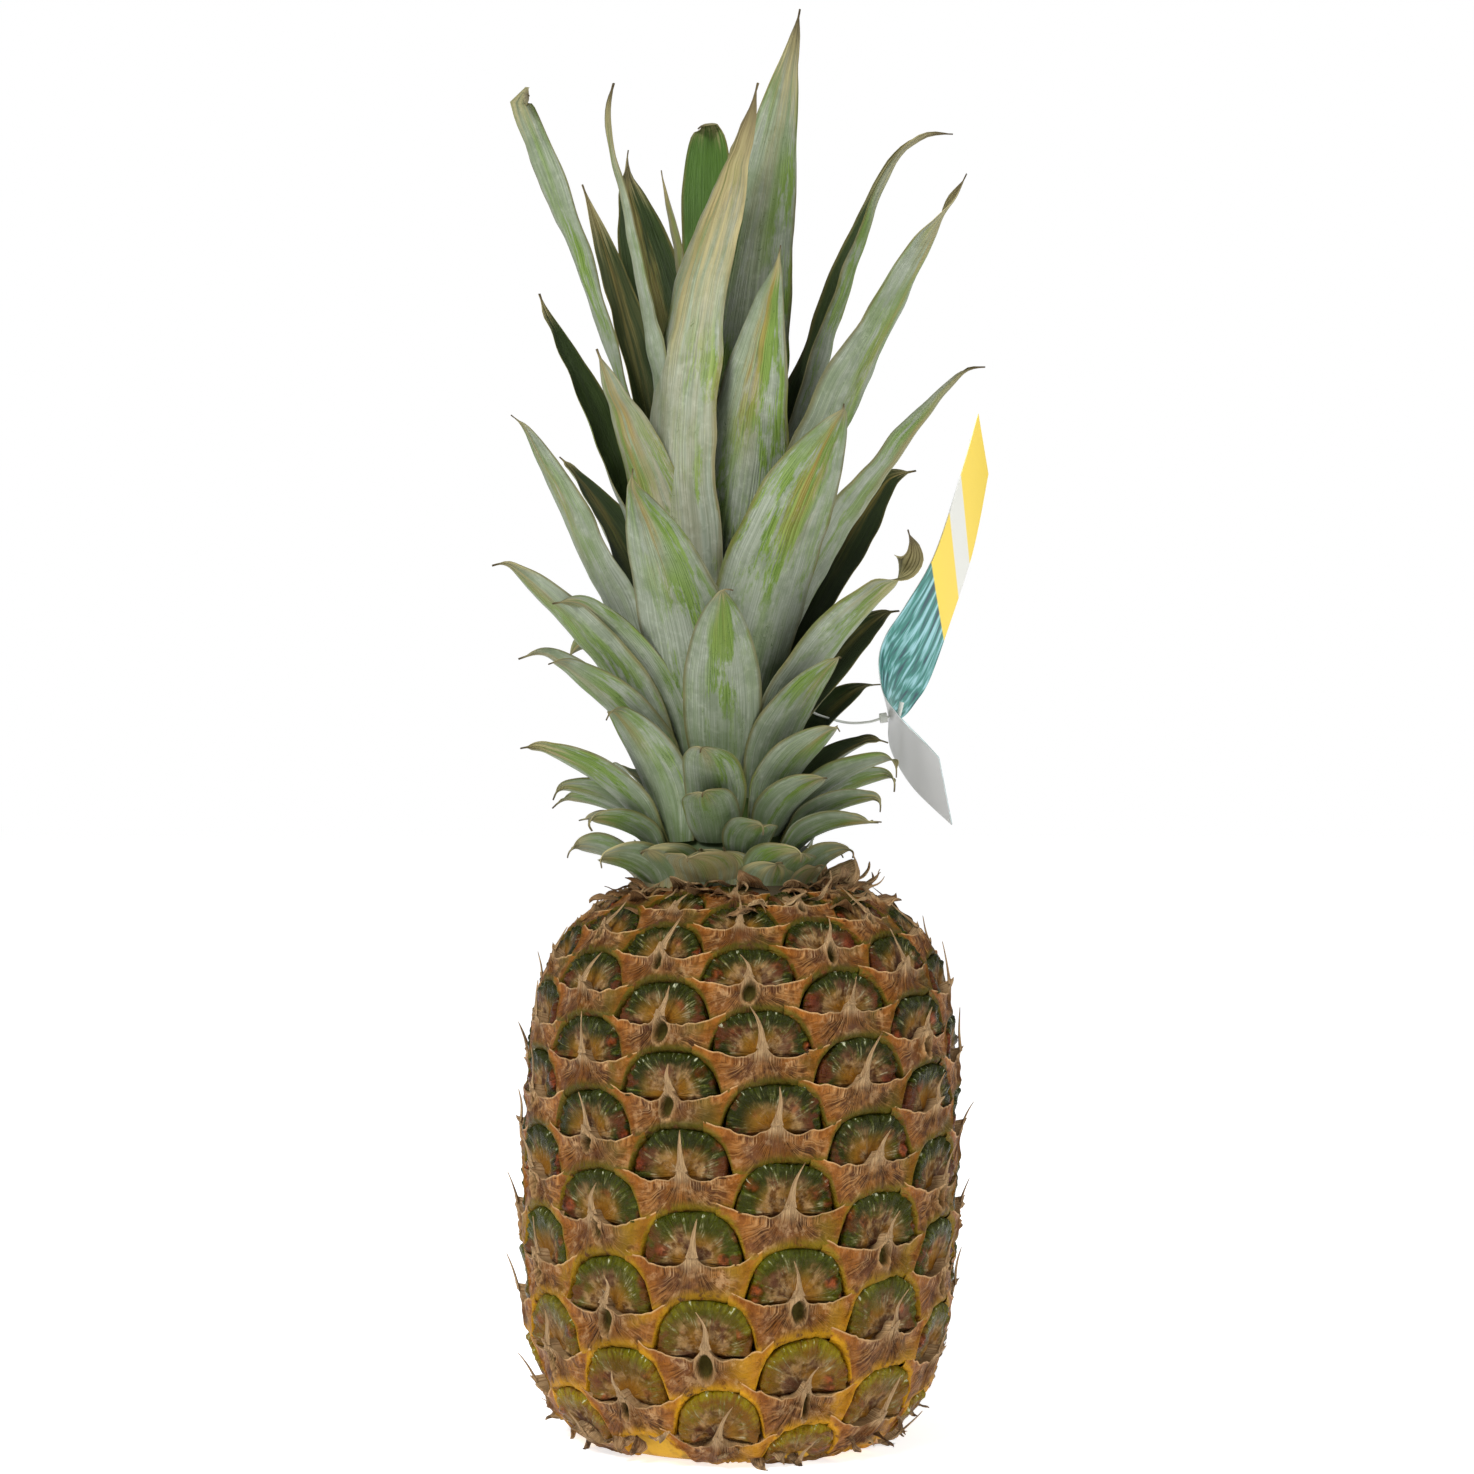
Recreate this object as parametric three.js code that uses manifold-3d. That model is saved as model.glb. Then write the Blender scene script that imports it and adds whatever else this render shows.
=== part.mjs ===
// A whole pineapple standing on its cut base, with its crown of leaves and a tag pinned to
// one leaf.
// Millimetres, +Z up. The origin is on the flat base, under the fruit, and -Y is the front.
// Azimuths are in degrees round +Z: 0 is the front (-Y) and 90 is +X.

import * as THREE from 'three';
import { mergeVertices } from 'three/addons/utils/BufferGeometryUtils.js';
import Module from 'manifold-3d';

const wasm = await Module();
wasm.setup();

// Fruit: half of its outline as radius and height, from the edge of the flat base to the crown
const FRUIT_OUTLINE = [
  [34, 0], [41.5, 2.2], [49, 9.5], [54.5, 23], [57.2, 36.8], [58.3, 64], [58, 91],
  [57.3, 105], [55.5, 118.5], [52, 129.3], [46.2, 138], [36, 145.8], [24, 150.4],
];
const FRUIT_LEAN = 0.02;
const FRUIT_LEAN_PIVOT = 85;

// Eyes: 14 nearly upright columns, each shifted by 3/7 of a row from the last one
const EYE_COLUMNS = 14;
const COLUMN_STEP = 360 / EYE_COLUMNS;
const ROW_SHIFT = 3 / 7;
const COLUMN_TWIST = 3.5;
const FIRST_COLUMN = 8.2;
const ROW_PITCH = 20.35;
const ROW_PITCH_GROWTH = 0.79;
const ROW_ZERO_Z = 89.3;
const TOP_ROW = -3.6;
const BOTTOM_ROW = 3.75;
const EYE_RELIEF = 4.6;
const GROOVE_WIDTH = 8;
const BRACT_RELIEF = 1.1;
const RELIEF_FADE = 9;
const TOP_FADE_START = 147;
const TOP_FADE_END = 150;
const STEPS_PER_COLUMN = 4;
const FRUIT_ROWS = 34;
const OUTLINE_SAMPLES = 400;
const EYE_CENTRE_DROP = 2;

// Thorns: one at the point of each eye's bract. stand is the share of the length by which a point
// stands off the surface, and run the share along it. The root and the knee have their own widths
// and depths, as factors.
const THORN_LENGTH = 12;
const THORN_WIDTH = 4.6;
const THORN_DEPTH = 2.2;
const THORN_SINK = 2.2;
const THORN_STAND = 0.5;
const THORN_RUN = 0.85;
const KNEE = { stand: 0.56, run: 0.35, width: 0.75, depth: 0.8 };
const ROOT = { width: 1.15, depth: 1.2 };

// Collar of dry pointed bracts on top of the fruit
const COLLAR_COUNT = 16;
const COLLAR_RADIUS = 28;
const COLLAR_LENGTH = 11;
const COLLAR_WIDTH = 4.6;
const COLLAR_ROOT_Z = 148.6;
const COLLAR_RUN = 0.8;

// Crown: its axis leaves the fruit a little to the left and leans further left
const CROWN_X = -4;
const CROWN_LEAN = -0.05;
const CROWN_Z = 150;
const STEM_OUTLINE = [[19.5, 150.8], [19, 155], [15, 168], [11, 184], [7.5, 199], [5, 210], [2, 216]];
const STEM_SIDES = 16;
const LOWEST_TIP = 156;
const HIGHEST_TIP = 388;
const LOWEST_FOOT = 152.6;
const FOOT_SPAN = 60;
const FOOT_POWER = 0.75;
const GAP = 0.35;

// The blades that are one with the stem start inside it
const COLLAR_SINK = 4;
const COLLAR_WIDTH_FACTOR = 1.4;
const HEART_SINK = 2.2;

// Blades
const BLADE_BASE_WIDTH = 11;
const BLADE_WIDTH_RATE = 0.16;
const BLADE_MAX_WIDTH = 27;
const BLADE_TIP_WIDTH = 1.8;
const BLADE_FOOT_THICKNESS = 1.7;
const BLADE_THICKNESS = 1.0;
const BLADE_TIP_THICKNESS = 0.7;
const BLADE_COLUMNS = 3;
const FOOT_WIDTH = 0.68;
const FOOT_SHARE = 0.3;
const TAPER_POWER = 1.7;
const WIDEST_FOOT_ARC = 1.9;
const OPEN_ARC = 1.1;
const TIP_ARC = 0.7;
const OPEN_SHARE = 0.35;
const HOOK_START = 0.8;
const SHARP_HOOK = 50;
const STEEPEST_BOW = 50;
const LEAST_BOW = 10;
const BOW_LOSS = 0.2;
const RIB_STEPS = 30;
const STEP_LENGTH = 36;

// Edges left by a cut or a join that are shorter than this are closed up
const FINEST_EDGE = 0.15;

// Tag: a narrow card that curls round as it hangs. Each pair is a point of its near edge and the
// point of its far edge across from it, from the top of the card to its bottom.
const TAG_THICKNESS = 0.6;
const TAG_STEPS = 16;
const TAG_EDGES = [
  [[66.6, 30, 281], [70.6, 46, 265.2]],
  [[61.9, 27, 264.6], [66, 43, 243]],
  [[54, 21, 241], [58.8, 37, 221.5]],
  [[45.8, 17, 226.7], [53, 32, 206.1]],
  [[40, 13, 218], [48.8, 28, 199.6]],
  [[37.9, 9, 210.7], [45.4, 26, 195.7]],
  [[38.9, 5, 202.4], [42.3, 27, 194.8]],
  [[42.1, 4, 197.2], [41.4, 26, 190.5]],
  [[45.7, 5, 193.1], [42.8, 23, 184.5]],
  [[50.2, 6, 188.7], [48.4, 21, 175.5]],
  [[54.3, 7, 184.3], [58.7, 20, 165.6]],
];

// Pin: a thin plastic thread from the tag's hole through one leaf, held by a bar at each end
const PIN_RADIUS = 0.5;
const PIN_BAR_RADIUS = 0.9;
const PIN_BAR_LENGTH = 8;
const PIN_KNOB_SIZE = 3.2;
const PIN_KNOB_LENGTH = 1.9;
const PIN_ROUTE = [
  [43.6, 15, 196], [39.4, 14.6, 195.3], [35, 12.6, 194.1],
  [29, 10.5, 194], [22, 8.6, 195.8], [18.6, 8, 197.4],
];

const COLOURS = {
  fruit: 0x8a6a34, stem: 0x8f9a72, leaf: 0x93a188, tag: 0xd8c24a, pin: 0xd9dcd6,
};

const radians = THREE.MathUtils.degToRad;
const clamp = THREE.MathUtils.clamp;
const mix = THREE.MathUtils.lerp;
const smooth = (x, from, to) => THREE.MathUtils.smoothstep(x, from, to);

const outward = (azimuth) => {
  const a = radians(azimuth);
  return new THREE.Vector3(Math.sin(a), -Math.cos(a), 0);
};

// A repeatable number from 0 to 1 for each whole number
const chance = (n) => {
  const x = Math.sin(n * 12.9898 + 4.1414) * 43758.5453;
  return x - Math.floor(x);
};

// Solids

function closedGeometry(points, triangles) {
  const geometry = new THREE.BufferGeometry();
  const positions = points.flatMap((p) => [p.x, p.y, p.z]);
  geometry.setAttribute('position', new THREE.Float32BufferAttribute(positions, 3));
  geometry.setIndex(triangles);
  return geometry;
}

function solidOf(geometry) {
  const bare = geometry.clone();
  bare.deleteAttribute('normal');
  bare.deleteAttribute('uv');
  const merged = mergeVertices(bare, 1e-4);
  return new wasm.Manifold(new wasm.Mesh({
    numProp: 3,
    vertProperties: new Float32Array(merged.attributes.position.array),
    triVerts: new Uint32Array(merged.index.array),
  }));
}

function largestBody(solid) {
  const bodies = solid.decompose();
  bodies.sort((a, b) => b.volume() - a.volume());
  return bodies[0];
}

function geometryOf(solid) {
  const mesh = largestBody(solid.simplify(FINEST_EDGE)).getMesh();
  const geometry = new THREE.BufferGeometry();
  const positions = new Float32Array(mesh.numVert * 3);
  for (let i = 0; i < mesh.numVert; i += 1) {
    for (let k = 0; k < 3; k += 1) {
      positions[i * 3 + k] = mesh.vertProperties[i * mesh.numProp + k];
    }
  }
  geometry.setAttribute('position', new THREE.BufferAttribute(positions, 3));
  geometry.setIndex(new THREE.BufferAttribute(new Uint32Array(mesh.triVerts), 1));
  return geometry;
}

// A skin of rings, each a closed loop of points, with a cap at both ends. The last cap is flat,
// or rises to a point if one is given.
function skinRings(rings, peak) {
  const count = rings[0].length;
  const points = rings.flat();
  const triangles = [];
  for (let j = 0; j < rings.length - 1; j += 1) {
    for (let k = 0; k < count; k += 1) {
      const a = j * count + k;
      const b = j * count + ((k + 1) % count);
      triangles.push(a, b, b + count, a, b + count, a + count);
    }
  }
  const first = points.length;
  points.push(centreOf(rings[0]), peak ?? centreOf(rings[rings.length - 1]));
  const last = (rings.length - 1) * count;
  for (let k = 0; k < count; k += 1) {
    const next = (k + 1) % count;
    triangles.push(first, next, k);
    triangles.push(first + 1, last + k, last + next);
  }
  return closedGeometry(points, triangles);
}

function centreOf(ring) {
  const centre = new THREE.Vector3();
  ring.forEach((p) => centre.add(p));
  return centre.divideScalar(ring.length);
}

// Fruit

const outlineCurve = new THREE.SplineCurve(FRUIT_OUTLINE.map(([r, z]) => new THREE.Vector2(r, z)));
const outlinePoints = outlineCurve.getSpacedPoints(OUTLINE_SAMPLES);
const outlineLength = outlineCurve.getLength();

const rowZeroIndex = outlinePoints.findIndex((p) => p.y >= ROW_ZERO_Z);
const rowZeroDistance = (rowZeroIndex / OUTLINE_SAMPLES) * outlineLength;

// Distance along the outline, downward from row 0
const rowDistance = (row) => ROW_PITCH * row + ROW_PITCH_GROWTH * row * row;

const rowAtDistance = (distance) => {
  const root = ROW_PITCH ** 2 + 4 * ROW_PITCH_GROWTH * distance;
  return (Math.sqrt(root) - ROW_PITCH) / (2 * ROW_PITCH_GROWTH);
};

function outlineAt(row) {
  const along = (rowZeroDistance - rowDistance(row)) / outlineLength;
  const index = clamp(along, 0, 1) * OUTLINE_SAMPLES;
  const low = Math.min(Math.floor(index), OUTLINE_SAMPLES - 1);
  const from = outlinePoints[low];
  const to = outlinePoints[low + 1];
  const point = from.clone().lerp(to, index - low);
  const along2d = to.clone().sub(from).normalize();
  return { radius: point.x, z: point.y, normal: new THREE.Vector2(along2d.y, -along2d.x) };
}

const columnAzimuth = (column, row) => COLUMN_STEP * column + COLUMN_TWIST * row + FIRST_COLUMN;

function fruitEyes() {
  const eyes = [];
  for (let column = 0; column < EYE_COLUMNS; column += 1) {
    const shift = ROW_SHIFT * column;
    for (let j = Math.ceil(TOP_ROW - shift); j + shift <= BOTTOM_ROW; j += 1) {
      eyes.push({ column, row: j + shift });
    }
  }
  return eyes;
}

// How far a place is inside its eye: half the difference of the squared distances to the two
// nearest eye centres over their separation. It is 0 on a groove.
function eyeInset(column, row, radius) {
  const near = [];
  for (let c = Math.floor(column) - 1; c <= Math.floor(column) + 2; c += 1) {
    const shift = ROW_SHIFT * c;
    const nearest = Math.round(row - shift);
    for (let j = nearest - 1; j <= nearest + 1; j += 1) {
      const eyeRow = j + shift;
      const across = radians((column - c) * COLUMN_STEP) * radius;
      const down = rowDistance(row) - rowDistance(eyeRow) + EYE_CENTRE_DROP;
      near.push({ across, down, reach: Math.hypot(across, down), below: row > eyeRow });
    }
  }
  near.sort((a, b) => a.reach - b.reach);
  const [one, two] = near;
  const separation = Math.hypot(one.across - two.across, one.down - two.down);
  return { inset: (two.reach ** 2 - one.reach ** 2) / (2 * separation), below: one.below };
}

function fruitPoint(column, row) {
  const { radius, z, normal } = outlineAt(row);
  const { inset, below } = eyeInset(column, row, radius);
  const openness = 1 - clamp(inset / GROOVE_WIDTH, 0, 1);
  const pillow = 1 - openness * openness;
  const fade = smooth(z, 0, RELIEF_FADE) * (1 - smooth(z, TOP_FADE_START, TOP_FADE_END));
  const relief = (EYE_RELIEF * (pillow - 1) + (below ? BRACT_RELIEF * pillow : 0)) * fade;
  return leaned(columnAzimuth(column, row), radius + normal.x * relief, z + normal.y * relief);
}

function leaned(azimuth, radius, z) {
  const point = outward(azimuth).multiplyScalar(radius);
  point.x += FRUIT_LEAN * (z - FRUIT_LEAN_PIVOT);
  point.z = z;
  return point;
}

function fruitBody() {
  const rings = [];
  const bottomRow = rowAtDistance(rowZeroDistance);
  const topRow = rowAtDistance(rowZeroDistance - outlineLength);
  for (let j = 0; j <= FRUIT_ROWS; j += 1) {
    const row = mix(bottomRow, topRow, j / FRUIT_ROWS);
    const ring = [];
    for (let k = 0; k < EYE_COLUMNS * STEPS_PER_COLUMN; k += 1) {
      ring.push(fruitPoint(k / STEPS_PER_COLUMN, row));
    }
    rings.push(ring);
  }
  return skinRings(rings);
}

// A flat-sided thorn: three sides, bent once, from a root under the surface to a point
function thorn({ root, out, up, length, width, lean, run }) {
  const side = new THREE.Vector3().crossVectors(up, out).normalize();
  const ringAt = (centre, w, d) => [
    centre.clone().addScaledVector(side, w / 2).addScaledVector(out, -d / 2),
    centre.clone().addScaledVector(side, -w / 2).addScaledVector(out, -d / 2),
    centre.clone().addScaledVector(out, d),
  ];
  const start = root.clone().addScaledVector(out, -THORN_SINK);
  const stand = length * THORN_STAND;
  const knee = root.clone().addScaledVector(out, stand * KNEE.stand);
  knee.addScaledVector(up, length * run * KNEE.run);
  const tip = root.clone().addScaledVector(out, stand).addScaledVector(up, length * run);
  tip.addScaledVector(side, lean * length);
  const rootRing = ringAt(start, ROOT.width * width, ROOT.depth * THORN_DEPTH);
  return skinRings([rootRing, ringAt(knee, KNEE.width * width, KNEE.depth * THORN_DEPTH)], tip);
}

function eyeThorn({ column, row }, index) {
  const { radius, z, normal } = outlineAt(row);
  const azimuth = columnAzimuth(column, row);
  const root = leaned(azimuth, radius, z);
  const radial = outward(azimuth);
  const out = radial.clone().multiplyScalar(normal.x).setZ(normal.y);
  const up = radial.clone().multiplyScalar(-normal.y).setZ(normal.x);
  const length = THORN_LENGTH * mix(0.8, 1.2, chance(index));
  const lean = mix(-0.15, 0.4, chance(index + 200));
  return thorn({ root, out, up, length, width: THORN_WIDTH, lean, run: THORN_RUN });
}

function collarBract(index) {
  const azimuth = (index * 360) / COLLAR_COUNT + mix(-3, 3, chance(index + 400));
  const root = leaned(azimuth, COLLAR_RADIUS + mix(-1.5, 2, chance(index + 430)), COLLAR_ROOT_Z);
  const out = new THREE.Vector3(0, 0, 1);
  const up = outward(azimuth);
  const length = COLLAR_LENGTH * mix(0.75, 1.1, chance(index + 460));
  const lean = mix(-0.2, 0.2, chance(index));
  return thorn({ root, out, up, length, width: COLLAR_WIDTH, lean, run: COLLAR_RUN });
}

function fruitGeometry() {
  const thorns = fruitEyes().map(eyeThorn);
  const collar = Array.from({ length: COLLAR_COUNT }, (_, index) => collarBract(index));
  const solids = [fruitBody(), ...thorns, ...collar].map(solidOf);
  return geometryOf(solids.reduce((whole, solid) => whole.add(solid)));
}

// Crown

const crownX = (z) => CROWN_X + CROWN_LEAN * (z - CROWN_Z);

function stemRadius(z) {
  const above = STEM_OUTLINE.findIndex(([, height]) => height >= z);
  if (above <= 0) return STEM_OUTLINE[above === 0 ? 0 : STEM_OUTLINE.length - 1][0];
  const [r0, z0] = STEM_OUTLINE[above - 1];
  const [r1, z1] = STEM_OUTLINE[above];
  return mix(r0, r1, (z - z0) / (z1 - z0));
}

function crownPoint(azimuth, radius, z) {
  const point = outward(azimuth).multiplyScalar(radius);
  point.x += crownX(z);
  point.z = z;
  return point;
}

function stemSolid(swell = 0) {
  const rings = STEM_OUTLINE.map(([radius, z]) => {
    const corner = radius / Math.cos(Math.PI / STEM_SIDES) + swell;
    const azimuths = Array.from({ length: STEM_SIDES }, (_, k) => (k * 360) / STEM_SIDES);
    return azimuths.map((azimuth) => crownPoint(azimuth, corner, z));
  });
  return solidOf(skinRings(rings));
}

// Blades. az, reach and tip place the point of a blade: its azimuth and distance from the crown's
// axis, and its height. foot is the azimuth where it leaves the stem, where that differs. level is
// the height of its foot where it isn't the usual one for its tip, belly how far its middle stands
// out, hook the extra bend of its last fifth, and wide a factor on its width. The blades here form
// the collar at the foot of the crown and are one with the stem.
const COLLAR_LEAVES = [
  { az: -58, reach: 42, tip: 158 },
  { az: -98, reach: 45, tip: 159, hook: 30 },
  { az: 180, reach: 38, tip: 159 },
  { az: 34, reach: 39, tip: 160 },
  { az: -38, reach: 35, tip: 161 },
  { az: 140, reach: 40, tip: 160 },
  { az: -80, reach: 33, tip: 157 },
  { az: -16, reach: 38, tip: 159 },
  { az: 78, reach: 37, tip: 159, hook: 60 },
  { az: -140, reach: 40, tip: 160 },
];

// The youngest leaves, upright in the heart of the crown
const HEART_LEAVES = [
  { az: 165, reach: 5, tip: 318, level: 213, wide: 0.55 },
  { az: 100, reach: 9, tip: 296, level: 212, wide: 0.5 },
];

const LEAVES = [
  { az: -66, reach: 42, tip: 167, hook: 40 },
  { az: 62, reach: 48, tip: 167 },
  { az: 16, reach: 40, tip: 167 },
  { az: 112, reach: 46, tip: 166 },
  { az: -120, reach: 47, tip: 167 },
  { az: 160, reach: 46, tip: 168 },
  { az: -165, reach: 46, tip: 170 },
  { az: 72, reach: 48, tip: 174 },
  { az: -104, reach: 49, tip: 173 },
  { az: -7, reach: 42, tip: 176 },
  { az: 92, reach: 51, tip: 179, hook: 30 },
  { az: -82, reach: 48, tip: 177 },
  { az: 42, reach: 43, tip: 180 },
  { az: 135, reach: 52, tip: 178 },
  { az: 72, reach: 54, tip: 184, hook: 30 },
  { az: -140, reach: 52, tip: 182 },
  { az: -70, reach: 57, tip: 189 },
  { az: -5, reach: 50, tip: 188 },
  { az: 170, reach: 53, tip: 190 },
  { az: 45, reach: 47, tip: 194 },
  { az: 104, reach: 48, tip: 191 },
  { az: -46, reach: 42, tip: 201 },
  { az: 145, reach: 56, tip: 204 },
  { az: -155, reach: 57, tip: 206 },
  { az: 110, reach: 48, tip: 207 },
  { az: -62, reach: 52, tip: 213 },
  { az: 48, reach: 47, tip: 213 },
  { az: -96, reach: 53, tip: 217, wide: 0.85 },
  { az: -134, reach: 57, tip: 222 },
  { az: 118, reach: 58, tip: 227, wide: 1.1 },
  { az: 3, reach: 60, tip: 229 },
  { az: 172, reach: 60, tip: 232 },
  { az: -72, reach: 60, tip: 239, level: 174 },
  { az: -62, reach: 45, tip: 231, level: 180 },
  { az: 62, reach: 73, tip: 243 },
  { az: -160, reach: 58, tip: 250 },
  { az: -20, reach: 58, tip: 258, foot: -28, wide: 1.18 },
  { az: 156, reach: 52, tip: 262 },
  { az: 122, reach: 67, tip: 269 },
  { az: -130, reach: 51, tip: 270 },
  { az: 37, reach: 63, tip: 277, foot: 22 },
  { az: -82, reach: 51, tip: 278 },
  { az: 172, reach: 56, tip: 288 },
  { az: 84, reach: 76, tip: 293 },
  { az: -50, reach: 36, tip: 293 },
  { az: -92, reach: 44, tip: 311, level: 190, wide: 0.65 },
  { az: 31, reach: 46, tip: 318, foot: -14, wide: 1.08 },
  { az: 62, reach: 82, tip: 338 },
  { az: -100, reach: 46, tip: 362, foot: -145, level: 204, wide: 0.5 },
  { az: 98, reach: 73, tip: 357, level: 201, hook: 70 },
  { az: -48, reach: 34, tip: 366, foot: -72, level: 208, wide: 0.7 },
  { az: 51, reach: 26, tip: 365, foot: -48, belly: 17, level: 205, wide: 0.8 },
  { az: -150, reach: 40, tip: 356, level: 208, wide: 0.8 },
  { az: -96, reach: 30, tip: 341, foot: -88, level: 207, wide: 0.6 },
  { az: 172, reach: 32, tip: 369, level: 211, wide: 0.7 },
  { az: 90, reach: 32, tip: 388, foot: 10, level: 213, wide: 1.1 },
];

const footHeight = (tip) => {
  const share = clamp((tip - LOWEST_TIP) / (HIGHEST_TIP - LOWEST_TIP), 0, 1);
  return LOWEST_FOOT + FOOT_SPAN * share ** FOOT_POWER;
};

// The angle by which a blade arches outward is the least for the tallest
const bowAngle = (tip) => Math.max(LEAST_BOW, STEEPEST_BOW - BOW_LOSS * (tip - LOWEST_TIP));

// The middle line of a blade as points with a tangent and an outward normal each. The lean grows
// evenly with the arc, and the curve is turned and scaled to run from the foot to the tip.
function bladeRib(leaf) {
  const footAzimuth = leaf.foot ?? leaf.az;
  const bow = radians(bowAngle(leaf.tip));
  const hook = radians(leaf.hook ?? 0);
  const footZ = leaf.level ?? footHeight(leaf.tip);
  const footRadius = stemRadius(footZ) + GAP + BLADE_FOOT_THICKNESS / 2 - (leaf.sink ?? 0);
  const start = crownPoint(footAzimuth, footRadius, footZ);
  const end = crownPoint(leaf.az, leaf.reach, leaf.tip);
  const level = new THREE.Vector3(end.x - start.x, end.y - start.y, 0);
  const leanAt = (s) => {
    const hooked = clamp((s - HOOK_START) / (1 - HOOK_START), 0, 1);
    return bow * (s - 0.5) + hook * hooked ** 2;
  };
  const plain = [new THREE.Vector2()];
  for (let k = 0; k < RIB_STEPS; k += 1) {
    const lean = leanAt((k + 0.5) / RIB_STEPS);
    plain.push(plain[k].clone().add(new THREE.Vector2(Math.sin(lean), Math.cos(lean))));
  }
  const chord = plain[RIB_STEPS];
  const turn = Math.atan2(level.length(), end.z - start.z) - Math.atan2(chord.x, chord.y);
  const scale = start.distanceTo(end) / chord.length();
  const heading = level.clone().normalize();
  const across = new THREE.Vector3(0, 0, 1).cross(heading);
  const belly = outward(footAzimuth).multiplyScalar(leaf.belly ?? 0);
  const points = plain.map(({ x, y }, k) => {
    const s = k / RIB_STEPS;
    const point = start.clone();
    point.addScaledVector(heading, scale * (x * Math.cos(turn) + y * Math.sin(turn)));
    point.z += scale * (y * Math.cos(turn) - x * Math.sin(turn));
    return point.addScaledVector(belly, Math.sin(Math.PI * s));
  });
  const headingAzimuth = THREE.MathUtils.radToDeg(Math.atan2(heading.x, -heading.y));
  return points.map((point, k) => {
    const s = k / RIB_STEPS;
    const ahead = points[Math.min(k + 1, RIB_STEPS)];
    const behind = points[Math.max(k - 1, 0)];
    const tangent = ahead.clone().sub(behind).normalize();
    const lean = leanAt(s) + turn;
    const face = radians(footAzimuth - headingAzimuth);
    const normal = heading.clone().multiplyScalar(Math.cos(lean));
    normal.z = -Math.sin(lean);
    normal.multiplyScalar(Math.cos(face)).addScaledVector(across, Math.sin(face));
    normal.addScaledVector(tangent, -normal.dot(tangent)).normalize();
    return { point, tangent, normal };
  });
}

// A blade is a channel open towards the crown's axis. Its section is an arc that wraps the stem
// at the foot and opens above it. The width swells a little and then tapers to a point.
function bladeGeometry(leaf, swell = 0) {
  const rib = bladeRib(leaf);
  const length = rib[0].point.distanceTo(rib[RIB_STEPS].point);
  const fullWidth = Math.min(BLADE_MAX_WIDTH, BLADE_BASE_WIDTH + BLADE_WIDTH_RATE * length);
  const widest = fullWidth * (leaf.wide ?? 1);
  const footRadius = stemRadius(rib[0].point.z) + GAP + BLADE_FOOT_THICKNESS;
  const extra = (leaf.hook ?? 0) > SHARP_HOOK ? 2 : 0;
  const steps = clamp(Math.round(3 + length / STEP_LENGTH), 4, 7) + extra;
  const columns = leaf.sink ? 2 : BLADE_COLUMNS;
  const rings = [];
  for (let j = 0; j <= steps; j += 1) {
    const s = j / steps;
    const { point, tangent, normal } = rib[Math.round(s * RIB_STEPS)];
    const side = new THREE.Vector3().crossVectors(tangent, normal);
    const rise = mix(FOOT_WIDTH, 1, Math.sin((Math.PI / 2) * clamp(s / FOOT_SHARE, 0, 1)));
    const taper = 1 - clamp((s - FOOT_SHARE) / (1 - FOOT_SHARE), 0, 1) ** TAPER_POWER;
    const width = mix(BLADE_TIP_WIDTH, widest * rise, taper) + 2 * swell;
    const footArc = Math.min(WIDEST_FOOT_ARC, (FOOT_WIDTH * widest) / footRadius);
    const arc = mix(footArc, mix(OPEN_ARC, TIP_ARC, s), smooth(s, 0, OPEN_SHARE));
    const radius = width / arc;
    const thick = mix(BLADE_THICKNESS, BLADE_TIP_THICKNESS, s);
    const thickness = mix(BLADE_FOOT_THICKNESS, thick, smooth(s, 0, FOOT_SHARE)) + 2 * swell;
    const outer = [];
    const inner = [];
    for (let k = 0; k <= columns; k += 1) {
      const angle = (k / columns - 0.5) * arc;
      const centre = point.clone().addScaledVector(side, radius * Math.sin(angle));
      centre.addScaledVector(normal, -radius * (1 - Math.cos(angle)));
      const facing = normal.clone().multiplyScalar(Math.cos(angle));
      facing.addScaledVector(side, Math.sin(angle));
      outer.push(centre.clone().addScaledVector(facing, thickness / 2));
      inner.push(centre.clone().addScaledVector(facing, -thickness / 2));
    }
    if (j === 0) [...outer, ...inner].forEach((p) => p.addScaledVector(tangent, -swell));
    if (j === steps) [...outer, ...inner].forEach((p) => p.addScaledVector(tangent, swell));
    rings.push({ outer, inner });
  }
  return skinSheet(rings, columns);
}

// Both faces of a thin sheet are split into triangles alike, so that they never cross
function skinSheet(rings, columns) {
  const row = columns + 1;
  const points = rings.flatMap(({ outer, inner }) => [...outer, ...inner]);
  const triangles = [];
  const quad = (a, b, c, d) => triangles.push(a, b, c, a, c, d);
  const ring = 2 * row;
  for (let j = 0; j < rings.length - 1; j += 1) {
    const here = j * ring;
    const next = here + ring;
    for (let k = 0; k < columns; k += 1) {
      quad(here + k, here + k + 1, next + k + 1, next + k);
      const inside = here + row + k;
      const above = inside + ring;
      triangles.push(inside, above + 1, inside + 1, inside, above, above + 1);
    }
    quad(here + row - 1, here + 2 * row - 1, next + 2 * row - 1, next + row - 1);
    quad(here + row, here, next, next + row);
  }
  const last = (rings.length - 1) * ring;
  for (let k = 0; k < columns; k += 1) {
    quad(k + 1, k, row + k, row + k + 1);
    quad(last + k, last + k + 1, last + row + k + 1, last + row + k);
  }
  return closedGeometry(points, triangles);
}

// Tag and pin

const vectors = (points) => points.map(([x, y, z]) => new THREE.Vector3(x, y, z));

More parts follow.
